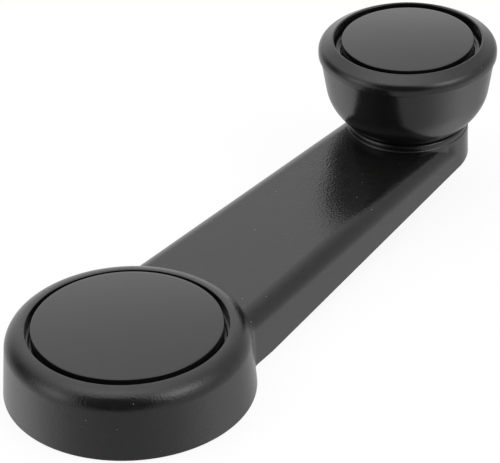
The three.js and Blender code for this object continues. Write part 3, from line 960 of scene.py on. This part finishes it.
def arm_bar(arm, hub):
    """The arm as a solid bar with rounded top edges."""
    drum_radius = hub.waist + hub.draft * arm.edge_round / hub.height + arm.draft - 2 * SUNK
    levels = [(arm.draft, arm.side_height(hub)), *rounding(arm.edge_round, FILLET_STEPS)]
    bar = raised("arm bar", arm_outline(arm, drum_radius), -BAR_FOOT, levels, arm.slope)
    sliced(bar, (0, 0, SUNK), (0, 0, -1))
    sliced(bar, *underside(arm, hub))
    high = 2 * hub.height
    room = [(0, -OVERRUN), (BAR_BORE, -OVERRUN), (BAR_BORE, high), (0, high)]
    return cut(bar, turned("hub room", room))


def drum(hub):
    """The hub, turned from one profile with its recess, pocket and bore."""
    flange_room, _, insert_top = node_size("spline_insert")
    flange_room += FIT_GAP
    floor = foot_of("screw_washer") - SEAT_GAP
    flange_foot = insert_top - INSERT_FLANGE - SEAT_GAP
    mouth_foot = hub.height - hub.mouth_depth
    inner_mouth = hub.mouth - hub.mouth_width
    return turned("drum", [
        (hub.radius, 0, FOOT_ROUND),
        *quarter(
            (hub.waist, hub.height - hub.shoulder_height),
            (hub.waist - hub.shoulder_width, hub.height),
        ),
        (hub.mouth, hub.height, EDGE),
        (hub.mouth, mouth_foot, FINE_EDGE),
        (inner_mouth, mouth_foot, FINE_EDGE),
        (inner_mouth, hub.ledge, EDGE),
        (hub.pocket, hub.ledge, EDGE),
        (hub.pocket, floor, ROOT),
        (flange_room, floor, FINE_EDGE),
        (flange_room, flange_foot, FINE_EDGE),
        (hub.bore, flange_foot, FINE_EDGE),
        (hub.bore, POST_SETBACK, EDGE),
        (hub.post + POST_STEP, POST_SETBACK),
        (hub.post + POST_STEP, 0),
    ])


def boss(arm, hub):
    """The arm's round end with the collar under the knob."""
    collar = arm.boss_radius - arm.collar_inset
    top, collar_top = arm.top_at_knob(hub), arm.collar_top(hub)
    shoulder = arm.boss_radius - arm.draft
    (low, low_round), (high, high_round) = COLLAR_FOOT
    profile = [
        (0, 0),
        (arm.boss_radius - arm.draft * BAR_FOOT / arm.side_height(hub), 0),
        (shoulder, top - arm.edge_round),
        (shoulder, top + low, low_round),
        (collar, top + high, high_round),
        (collar, collar_top, arm.collar_round),
        (0, collar_top),
    ]
    solid = turned("boss", profile, arm.throw, corner_steps=SHORT_STEPS)
    return sliced(solid, *underside(arm, hub))


def half_cavity(arm, hub):
    """Half of the room under the arm's skin, in plan, between the hub and the boss."""
    lean = arm.lean
    drum_radius = hub.radius + CELL_GAP
    end_radius = arm.boss_radius - arm.wall
    centre = fillet_centre(arm, hub.waist, arm.root_radius)
    fillet = arm.fillet + arm.wall
    distance = centre.length
    meet = math.acos((drum_radius**2 + distance**2 - fillet**2) / (2 * drum_radius * distance))
    drum_end = heading(centre) - meet
    corner = Matrix.Rotation(drum_end, 2) @ Vector((drum_radius, 0))
    end = (arm.throw, 0)
    drum_start, end_start, core_start = (
        math.asin(arm.rib / 2 / radius) for radius in (drum_radius, end_radius, arm.core_radius)
    )
    return [
        *arc((0, 0), drum_radius, drum_start, drum_end),
        *arc(centre, fillet, heading(corner - centre), -math.pi / 2 - lean)[1:],
        *arc(end, end_radius, math.pi / 2 - lean, end_start),
        *arc(end, arm.core_radius, core_start, math.pi - core_start),
    ]


def spoke_side(arm, turn, side):
    """A point on one face of a rib that leaves the knob axis, and the way off it."""
    off = Matrix.Rotation(turn, 2) @ Vector((0, side))
    return Vector((arm.throw, 0)) + off * arm.rib / 2, off


def arm_cells(arm, hub):
    """The plan of each room between the ribs, on one side of the arm."""
    room = half_cavity(arm, hub)
    first, last = hub.radius, arm.throw - arm.core_radius
    bays = round((last - first) / arm.rib_pitch)
    ribs = [first + (last - first) * i / bays for i in range(1, bays)]
    back, ahead = FAN_RIBS
    half = arm.rib / 2
    cells = []
    for i in range(bays):
        cell = room
        if i > 0:
            cell = clipped(cell, (ribs[i - 1] + half, 0), (1, 0))
        if i < bays - 1:
            cell = clipped(cell, (ribs[i] - half, 0), (-1, 0))
        else:
            cell = clipped(cell, *spoke_side(arm, back, 1))
        cells.append(cell)
    fan = clipped(room, *spoke_side(arm, back, -1))
    cells.append(clipped(fan, *spoke_side(arm, ahead, 1)))
    cells.append(clipped(room, *spoke_side(arm, ahead, -1)))
    return cells


def arm_rooms(arm, hub):
    """Cutters for the rooms under the arm, and for the setback of its ribs."""
    depth = arm.top(0, hub) - arm.skin + OVERRUN
    levels = [(CELL_DRAFT, depth - ROOT), *rounding(ROOT, ROOT_STEPS)]
    rooms = [
        raised(f"room {i}", with_rounded_corners(cell), -OVERRUN, levels, arm.slope)
        for i, cell in enumerate(arm_cells(arm, hub))
    ]
    rooms = with_mirror(together(rooms, "arm rooms"))
    axis = Vector((arm.throw, 0))
    past_core = arm.core_radius + SUNK
    half = [p for p in half_cavity(arm, hub) if (Vector(p) - axis).length > past_core]
    outline = with_rounded_corners(half + mirrored(half))
    slab = raised("rib setback", outline, -OVERRUN, [(0, hub.height)])
    point, down = underside(arm, hub)
    sliced(slab, point + UP * arm.rib_setback, -down)
    foot, radius = -2 * OVERRUN, arm.core_radius
    core = [(0, foot), (radius, foot), (radius, hub.height), (0, hub.height)]
    return rooms, cut(slab, turned("core room", core, arm.throw))


def sector(inner, outer, number, thickness):
    """The plan of one room between radial ribs of even thickness."""
    step = math.pi / number
    out, into = (step - math.asin(thickness / 2 / r) for r in (outer, inner))
    return [*arc((0, 0), outer, -out, out), *arc((0, 0), inner, into, -into)]


def hub_room(name, hub, inner, outer, rib, foot, ceiling):
    """Cutters for one ring of rooms under the hub."""
    plan = with_rounded_corners(sector(inner, outer, hub.ribs, rib))
    levels = [(ROOM_DRAFT, ceiling - foot - ROOT), *rounding(ROOT, ROOT_STEPS)]
    return with_copies(raised(name, plan, foot, levels), hub.ribs)


def hub_rooms(arm, hub):
    """Cutters for the rooms under the hub and for the setback of its ribs."""
    floor = foot_of("screw_washer") - SEAT_GAP - hub.floor
    outer = hub.radius - hub.wall
    low = hub_room("low room", hub, hub.post, outer, arm.rib, -OVERRUN, floor)
    high = hub_room(
        "high room", hub, hub.pocket + POCKET_WALL, outer - HIGH_ROOM_INSET,
        arm.rib + HIGH_ROOM_INSET, floor - HIGH_ROOM_OVERLAP, hub.ledge - POCKET_WALL,
    )
    setback = turned("hub rib setback", [
        (hub.post, -OVERRUN), (outer, -OVERRUN),
        (outer, arm.rib_setback, ROOT), (hub.post, arm.rib_setback, ROOT),
    ])
    return low, high, setback


def pin_hole(arm, hub):
    """Cutter for the pin's hole and for the counterbore of its tail washer."""
    top = arm.collar_top(hub) + OVERRUN
    hole = PIN_TAIL + FIT_GAP
    seat = top_of("pin_tail_washer") + SEAT_GAP
    room = radius_of("pin_tail_washer") + COUNTERBORE_GAP
    profile = [(0, 0), (room, 0), (room, seat, ROOT), (hole, seat), (hole, top), (0, top)]
    return turned("pin hole", profile, arm.throw, SMALL_STEPS)


class WINDER_OT_crank(bpy.types.Operator):
    """Models the one-piece moulding: hub drum, arm and round end, hollow and ribbed below"""

    bl_idname = "winder.crank"
    bl_label = "Crank moulding"

    def execute(self, context):
        hub, arm = context.scene.winder_hub, context.scene.winder_arm
        crank = joined(drum(hub), arm_bar(arm, hub), boss(arm, hub))
        rooms, slab = arm_rooms(arm, hub)
        low, high, setback = hub_rooms(arm, hub)
        cut(crank, rooms, low, slab, high, setback, pin_hole(arm, hub))
        named(crank, "crank_moulding")
        plastic = finish_of("grained black plastic", grained_plastic, 1.0)
        finished(crank, "crank", "grained_plastic", plastic, "crank_arm")
        return {"FINISHED"}


def snap_cap(name, node, skirt_foot, grip, axis, crown):
    """A crowned disc with a skirt, and a ring of sprung fingers below it."""
    radius, plug_foot, top = node_size(node)
    plate = top - CAP_PLATE
    skirt = radius - CAP_SKIRT
    held = grip - CAP_SNAP
    finger = held - CAP_FINGER
    depth = plate - plug_foot
    shares = [i / LONG_STEPS for i in range(LONG_STEPS)]
    cap = turned(name, [
        *((radius * out, top + crown * (1 - out**2)) for out in shares),
        (radius, top, EDGE),
        (radius, skirt_foot, EDGE),
        (skirt, skirt_foot, EDGE),
        (skirt, plate, FINE_EDGE),
        (held, plate, ROOT / 2),
        (held, plug_foot + depth * BEAD_TOP),
        (grip, plug_foot + depth * BEAD_MIDDLE, FINE_EDGE),
        (held, plug_foot, FINE_EDGE),
        (finger, plug_foot, EDGE),
        (finger, plate, ROOT),
        (0, plate),
    ], axis, corner_steps=CAP_CORNER_STEPS)
    plan = oblong(axis + finger - OVERRUN, axis + grip + FIT_GAP, CAP_SLOT_HALF)
    levels = [(0, depth + OVERRUN - CAP_SLOT_ROOF)]
    slot = raised(name + " slot", plan, plug_foot - OVERRUN, levels)
    return cut(cap, with_copies(slot, CAP_SLOTS, axis))


class WINDER_OT_caps(bpy.types.Operator):
    """Models the two snap-in discs, over the hub's screw and in the knob"""

    bl_idname = "winder.caps"
    bl_label = "Snap-in caps"

    def execute(self, context):
        hub, knob = context.scene.winder_hub, context.scene.winder_knob
        grip, foot = hub.pocket - FIT_GAP, hub.ledge + SEAT_GAP
        hub_disc = snap_cap("hub_disc", "hub_cap", foot, grip, 0.0, HUB_CROWN)
        finished(hub_disc, "cap", "smooth_plastic", disc_plastic(0.0), "hub_cap")
        grip, foot = knob.cavity - FIT_GAP, knob.ledge + SEAT_GAP
        crown = knob.top - top_of("knob_cap")
        knob_disc = snap_cap("knob_disc", "knob_cap", foot, grip, KNOB_AXIS, crown)
        finished(knob_disc, "knob", "smooth_plastic", disc_plastic(KNOB_AXIS), "knob_cap")
        return {"FINISHED"}


def knob_outline(knob):
    """The knob's outside, from its foot up the bowl and over the rim."""
    rim_foot = knob.top - knob.rim_height
    foot = (knob.foot_radius, knob.foot)
    under = (knob.radius - knob.rim_under, rim_foot)
    waist = (knob.radius, rim_foot + knob.rim_waist)
    centre = Vector((knob.radius - knob.rim_round, waist[1] + knob.rim_side))
    to_mouth = Vector((knob.mouth, knob.top)) - centre
    slope = heading(to_mouth) - math.acos(knob.rim_round / to_mouth.length)
    return [
        *bezier(foot, knob.side(knob.bowl_pull_height), knob.side(knob.bowl_height), LONG_STEPS),
        (knob.radius - knob.neck_inset, rim_foot, NECK_ROOT),
        *quarter(under, waist, True, SHORT_STEPS),
        *arc(centre, knob.rim_round, 0, slope, RIM_STEPS),
        (knob.mouth, knob.top, 2 * EDGE),
    ]


class WINDER_OT_knob(bpy.types.Operator):
    """Models the knob's cup, with its recess, its hollow, its ribs and its tube"""

    bl_idname = "winder.knob"
    bl_label = "Knob"

    def execute(self, context):
        knob = context.scene.winder_knob
        bush, washer_top, bush_top = node_size("knob_bush")
        floor = knob.foot + KNOB_FLOOR
        step = knob.top - knob.mouth_depth
        inner = knob.mouth - knob.mouth_width
        ledge, cavity = knob.ledge, knob.cavity
        tube = bush - BUSH_FLANGE_WIDTH + RUNNING_GAP
        tube_side = tube + TUBE_WALL
        tube_top = bush_top - BUSH_FLANGE - SEAT_GAP
        washer_room = radius_of("thrust_washer") + FIT_GAP
        shoulder = (cavity, knob.foot + CAVITY_SHOULDER)
        cup = turned("knob_cup", [
            *knob_outline(knob),
            (knob.mouth, step, knob.mouth_fillet),
            (inner, step, FINE_EDGE),
            (inner, ledge, EDGE),
            (cavity, ledge, EDGE),
            *quarter(shoulder, (cavity - CAVITY_TAPER, floor), steps=SHORT_STEPS),
            (tube_side, floor, ROOT),
            (tube_side, tube_top, EDGE),
            (tube, tube_top, EDGE),
            (tube, washer_top, FINE_EDGE),
            (washer_room, washer_top, FINE_EDGE),
            (washer_room, knob.foot, EDGE),
        ], KNOB_AXIS)
        joined(cup, self.ribs(knob, tube + TUBE_WALL / 2, floor - OVERRUN, tube_top - RIB_DROP))
        share_of_grain = context.scene.winder_finish.knob_grain
        plastic = finish_of("worn black plastic", grained_plastic, share_of_grain)
        finished(cup, "knob", "grained_plastic", plastic, "knob_body")
        return {"FINISHED"}

    def ribs(self, knob, near, foot, top):
        """The ribs between the tube and the wall, cut to the cavity's shape."""
        far, low = knob.cavity + RIB_SUNK, knob.foot + RIB_FOOT
        levels = [(0, top - foot - EDGE), *rounding(EDGE, EDGE_STEPS)]
        rib = raised("knob rib", oblong(KNOB_AXIS + near, KNOB_AXIS + far, RIB_HALF), foot, levels)
        room = turned("rib room", [
            (0, low), (knob.cavity - RIB_TAPER, low), (far, knob.foot + RIB_SHOULDER),
            (far, knob.top), (0, knob.top),
        ], KNOB_AXIS)
        return combined(with_copies(rib, knob.ribs, KNOB_AXIS), room, "INTERSECT")


def band(inner, outer, foot, top, edge=FINE_EDGE):
    """A flat cross-section with broken edges."""
    return [(inner, foot, edge), (outer, foot, edge), (outer, top, edge), (inner, top, edge)]


def knob_washer(name, node, pin, edge=FINE_EDGE):
    """A flat washer on the knob's axis, as large as its node."""
    return turned(name, band(pin + RUNNING_GAP, *node_size(node), edge), KNOB_AXIS, SMALL_STEPS)


class WINDER_OT_washers(bpy.types.Operator):
    """Models the thrust washer, the washer under the arm and the wavy washer"""

    bl_idname = "winder.washers"
    bl_label = "Washers"

    def execute(self, context):
        thrust = knob_washer("thrust_ring", "thrust_washer", PIN_SHANK, THRUST_EDGE)
        finished(thrust, "crank", "bearing_plastic", pale_plastic(), "thrust_washer")
        tail = knob_washer("tail_ring", "pin_tail_washer", PIN_TAIL)
        plated, sprung = (steel(kind, KNOB_AXIS) for kind in ("plated steel", "spring steel"))
        finished(tail, "crank", "plated_steel", plated, "pin_tail_washer")
        finished(self.wavy(), "crank", "spring_steel", sprung, "wave_washer")
        return {"FINISHED"}

    def wavy(self):
        """A cross-section carried round the axis, up and down with each wave."""
        outer, foot, top = node_size("wave_washer")
        middle, swing = (foot + top) / 2, (top - foot) / 2 - WAVY_HALF
        corners = band(PIN_SHANK + RUNNING_GAP, outer, middle - WAVY_HALF, middle + WAVY_HALF)
        section = softened(corners, EDGE_STEPS)
        piece = traced("wavy_ring", [(KNOB_AXIS + r, 0, z) for r, z in section])
        bpy.ops.mesh.select_mode(type="EDGE")
        turn, centre = 2 * math.pi / WAVE_STEPS, (KNOB_AXIS, 0, 0)
        heights = [swing * math.sin(WAVES * i * turn) for i in range(WAVE_STEPS + 1)]
        for here, there in zip(heights, heights[1:]):
            bpy.ops.mesh.extrude_edges_move()
            bpy.ops.transform.rotate(value=-turn, orient_axis="Z", center_override=centre)
            bpy.ops.transform.translate(value=(0, 0, there - here))
        bpy.ops.mesh.select_mode(type="VERT")
        return sealed(piece, WAVY_MERGE)


def dome(radius, seat, top):
    """The outline of a round head, from its upright side to its middle."""
    return quarter((radius, seat + HEAD_SIDE), (0, top), steps=HEAD_STEPS)


class WINDER_OT_bearing(bpy.types.Operator):
    """Models the pin with its peened tail, and the flanged bush that runs on it"""

    bl_idname = "winder.bearing"
    bl_label = "Pin and bush"

    def execute(self, context):
        head, foot, top = node_size("knob_pin")
        seat = top - PIN_HEAD_HEIGHT
        fold = foot + PEEN_HEIGHT
        peen = PIN_TAIL + PEEN_WIDTH
        shoulder = foot_of("thrust_washer")
        pin = turned("pivot_pin", [
            *quarter((0, foot), (peen, fold - PEEN_SIDE), True, PEEN_STEPS),
            (peen, fold, FINE_EDGE),
            (PIN_TAIL, fold, FINE_EDGE),
            (PIN_TAIL, shoulder, FINE_EDGE),
            (PIN_SHANK, shoulder, EDGE),
            (PIN_SHANK, seat, FINE_EDGE),
            (head, seat, FINE_EDGE),
            *dome(head, seat, top),
        ], KNOB_AXIS, SMALL_STEPS)
        finished(pin, "crank", "plated_steel", steel("plated steel", KNOB_AXIS), "knob_pin")
        outer, low, high = node_size("knob_bush")
        bore, sleeve = PIN_SHANK + RUNNING_GAP, outer - BUSH_FLANGE_WIDTH
        flange = high - BUSH_FLANGE
        bush = turned("flanged_bush", [
            (bore, low, EDGE), (sleeve, low, EDGE), (sleeve, flange, FINE_EDGE),
            (outer, flange, EDGE), (outer, high, EDGE), (bore, high, EDGE),
        ], KNOB_AXIS, SMALL_STEPS)
        finished(bush, "knob", "bearing_plastic", pale_plastic(), "knob_bush")
        return {"FINISHED"}


def teeth(outer, depth, number, flat):
    """An outline whose radius steps between two values, as in a spline or a knurl."""
    inner = outer - depth
    points = []
    for i in range(number):
        steps = ((outer, -flat), (outer, flat), (inner, 0.5 - flat), (inner, 0.5 + flat))
        for radius, offset in steps:
            turn = 2 * math.pi * (i + offset) / number
            points.append((radius * math.cos(turn), radius * math.sin(turn)))
    return points


class WINDER_OT_insert(bpy.types.Operator):
    """Models the knurled sleeve with its splined socket"""

    bl_idname = "winder.insert"
    bl_label = "Splined insert"

    def execute(self, context):
        flange, foot, top = node_size("spline_insert")
        below, flange_foot = foot - OVERRUN, top - INSERT_FLANGE
        hole, root = SCREW_CREST + FIT_GAP, SPLINE_RADIUS - SPLINE_DEPTH
        outline = teeth(flange - INSERT_FLANGE_WIDTH, *KNURL)
        knurl = raised("knurl", outline, foot, [(0, top - foot - KNURL_DROP)])
        disc = turned("flange", [
            (0, flange_foot), (flange, flange_foot, EDGE), (flange, top, EDGE), (0, top)
        ])
        outline = teeth(SPLINE_RADIUS, *SPLINE)
        socket = raised("socket", outline, below, [(0, top - SOCKET_ROOF - below)])
        lead = turned("lead-in", [
            (0, below), (SPLINE_RADIUS + OVERRUN, below),
            (root, foot + SPLINE_DEPTH), (0, foot + SPLINE_DEPTH),
        ])
        bore = turned("screw hole", [
            (0, foot), (hole, foot), (hole, top - EDGE),
            (hole + 2 * EDGE, top + EDGE), (0, top + EDGE),
        ])
        insert = named(cut(joined(knurl, disc), socket, lead, bore), "splined_sleeve")
        finished(insert, "crank", "plated_steel", steel("plated steel"), "spline_insert")
        return {"FINISHED"}


class WINDER_OT_screw(bpy.types.Operator):
    """Models the screw under the hub's cap, and its dished washer"""

    bl_idname = "winder.screw"
    bl_label = "Screw and dished washer"

    def execute(self, context):
        head, foot, top = node_size("retaining_screw")
        seat = top_of("screw_washer") + SEAT_GAP
        neck = seat - NECK_HEIGHT
        screw = turned("cover_screw", [
            (0, foot),
            (SCREW_CORE - SCREW_POINT, foot, FINE_EDGE),
            (SCREW_CORE, foot + SCREW_POINT),
            (SCREW_CORE, neck),
            (SCREW_CREST, neck + NECK_RUNOUT, EDGE),
            (SCREW_CREST, seat, FINE_EDGE),
            (head, seat, EDGE),
            *dome(head, seat, top + SCREW_CROWN),
        ], steps=SMALL_STEPS)
        joined(screw, self.thread(foot + THREAD_START, neck))
        sizes = (DRIVE_HALF_LENGTH, DRIVE_HALF_WIDTH)
        slots = zip(("drive across", "drive upright"), (sizes, sizes[::-1]), DRIVE_DEPTHS)
        across, upright = (
            raised(name, oblong(-x, x, y), top - depth, [(0, DRIVE_CUTTER)])
            for name, (x, y), depth in slots
        )
        cut(screw, joined(across, upright))
        finished(screw, "crank", "plated_steel", steel("plated steel"), "retaining_screw")
        finished(self.dished(), "crank", "spring_steel", steel("spring steel"), "screw_washer")
        return {"FINISHED"}

    def thread(self, foot, top):
        """A ridge wound round the shank."""
        root = SCREW_CORE - THREAD_ROOT
        section = [
            (root, -THREAD_HALF), (SCREW_CREST, -THREAD_FLAT),
            (SCREW_CREST, THREAD_FLAT), (root, THREAD_HALF),
        ]
        turns = (top - foot) / THREAD_PITCH - THREAD_SHORT
        piece = traced("thread", [(r, 0, foot + THREAD_HALF + z) for r, z in section])
        bpy.ops.mesh.edge_face_add()
        turn, middle = 2 * math.pi / THREAD_STEPS, (0, 0, 0)
        for _ in range(round(turns * THREAD_STEPS)):
            extruded((0, 0, THREAD_PITCH / THREAD_STEPS))
            bpy.ops.transform.rotate(value=-turn, orient_axis="Z", center_override=middle)
        return sealed(piece)

    def dished(self):
        outer, foot, top = node_size("screw_washer")
        inner, thick = SCREW_CREST + FIT_GAP, DISHED_THICKNESS
        return turned("dished_ring", [
            (inner, top - thick, FINE_EDGE), (outer, foot, FINE_EDGE),
            (outer, foot + thick, FINE_EDGE), (inner, top, FINE_EDGE),
        ], steps=SMALL_STEPS)


def lit_world(stage):
    """White for the camera. The handle has a pale surround with soft lights in it."""
    world = bpy.data.worlds.new("studio")
    finish = Finish(world)
    ray = finish.add("TexCoord", output="Generated")
    ray = finish.add("VectorMath", {0: ray}, operation="NORMALIZE")
    strength = stage.surround
    for azimuth, elevation, width, light in SOFT_LIGHTS.values():
        towards = direction(math.radians(azimuth), math.radians(elevation))
        facing = finish.add("VectorMath", {0: ray, 1: towards}, "Value", operation="DOT_PRODUCT")
        falloff = math.log(0.5) / math.log((1 + math.cos(math.radians(width))) / 2)
        strength = strength + (0.5 + 0.5 * facing) ** falloff * light
    strength = finish.add("Math", {0: strength, 1: DARKEST}, operation="MAXIMUM")
    path = finish.add("LightPath", output="Is Camera Ray")
    white = colour(stage.backdrop)
    soft = finish.add("Background", {"Color": white, "Strength": strength})
    plain = finish.add("Background", {"Color": white, "Strength": 1.0})
    both = finish.add("MixShader", {0: path, 1: soft, 2: plain})
    finish.add("OutputWorld", {"Surface": both})
    return world


def floor_finish(stage):
    """Pale to the eye, with a faint shadow, and clear from below."""
    finish = Finish(bpy.data.materials.new("pale floor"))
    matt = finish.add("BsdfDiffuse", {"Color": colour(stage.floor)})
    glow = finish.add("Emission", {"Color": colour(stage.backdrop), "Strength": 1.0})
    seen = finish.add("MixShader", {0: stage.shadow, 1: glow, 2: matt})
    below = finish.add("NewGeometry", output="Backfacing")
    clear = finish.add("BsdfTransparent")
    both = finish.add("MixShader", {0: below, 1: seen, 2: clear})
    finish.add("OutputMaterial", {"Surface": both})
    return finish.owner


class WINDER_OT_stage(bpy.types.Operator):
    """Sets up the floor, the light and the camera"""

    bl_idname = "winder.stage"
    bl_label = "Stage"

    def execute(self, context):
        stage, scene = context.scene.winder_stage, context.scene
        self.lay_floor(stage)
        scene.world = lit_world(stage)
        self.set_camera(stage, scene)
        scene.view_settings.view_transform = "Standard"
        return {"FINISHED"}

    def lay_floor(self, stage):
        deselect_objects()
        bpy.ops.mesh.primitive_plane_add(size=FLOOR_SIZE, location=(0, 0, -FLOOR_GAP))
        floor = placed(named(bpy.context.object, "floor"))
        floor.data.materials.append(floor_finish(stage))
        floor.visible_diffuse = floor.visible_glossy = floor.visible_transmission = False
        floor.visible_shadow = False

    def set_camera(self, stage, scene):
        along = direction(stage.azimuth, -stage.elevation)
        level = along.cross(UP).normalized()
        down = along.cross(level)
        right = level * math.cos(stage.roll) + down * math.sin(stage.roll)
        up = level * math.sin(stage.roll) - down * math.cos(stage.roll)
        data = bpy.data.cameras.new("camera")
        data.lens, data.sensor_width = stage.lens, SENSOR_WIDTH
        data.clip_start, data.clip_end = CLIP_RANGE
        camera = bpy.data.objects.new("camera", data)
        turn = Matrix((right, up, -along)).transposed().to_4x4()
        camera.matrix_world = Matrix.Translation(stage.viewpoint) @ turn
        scene.collection.objects.link(camera)
        scene.camera = camera


class WINDER_PT_panel(bpy.types.Panel):
    """Lists the steps in the order in which they are run"""

    bl_label = "Window winder"
    bl_space_type = "VIEW_3D"
    bl_region_type = "UI"
    bl_category = "Winder"

    def draw(self, context):
        for step in STEPS:
            self.layout.operator(step.bl_idname)
        for group in GROUPS:
            settings = getattr(context.scene, group)
            box = self.layout.box()
            for name in settings.__annotations__:
                box.prop(settings, name)


STEPS = (
    WINDER_OT_crank, WINDER_OT_knob, WINDER_OT_caps, WINDER_OT_insert,
    WINDER_OT_screw, WINDER_OT_bearing, WINDER_OT_washers, WINDER_OT_stage,
)
GROUPS = {
    "winder_hub": WinderHub, "winder_arm": WinderArm, "winder_knob": WinderKnob,
    "winder_finish": WinderFinish, "winder_stage": WinderStage,
}


def register():
    for kind in (*GROUPS.values(), *STEPS, WINDER_PT_panel):
        bpy.utils.register_class(kind)
    for name, group in GROUPS.items():
        setattr(bpy.types.Scene, name, bpy.props.PointerProperty(type=group))


def unregister():
    for name in GROUPS:
        delattr(bpy.types.Scene, name)
    for kind in reversed((*GROUPS.values(), *STEPS, WINDER_PT_panel)):
        bpy.utils.unregister_class(kind)


def main():
    register()
    for step in STEPS:
        group, name = step.bl_idname.split(".")
        getattr(getattr(bpy.ops, group), name)()


if __name__ == "__main__":
    main()
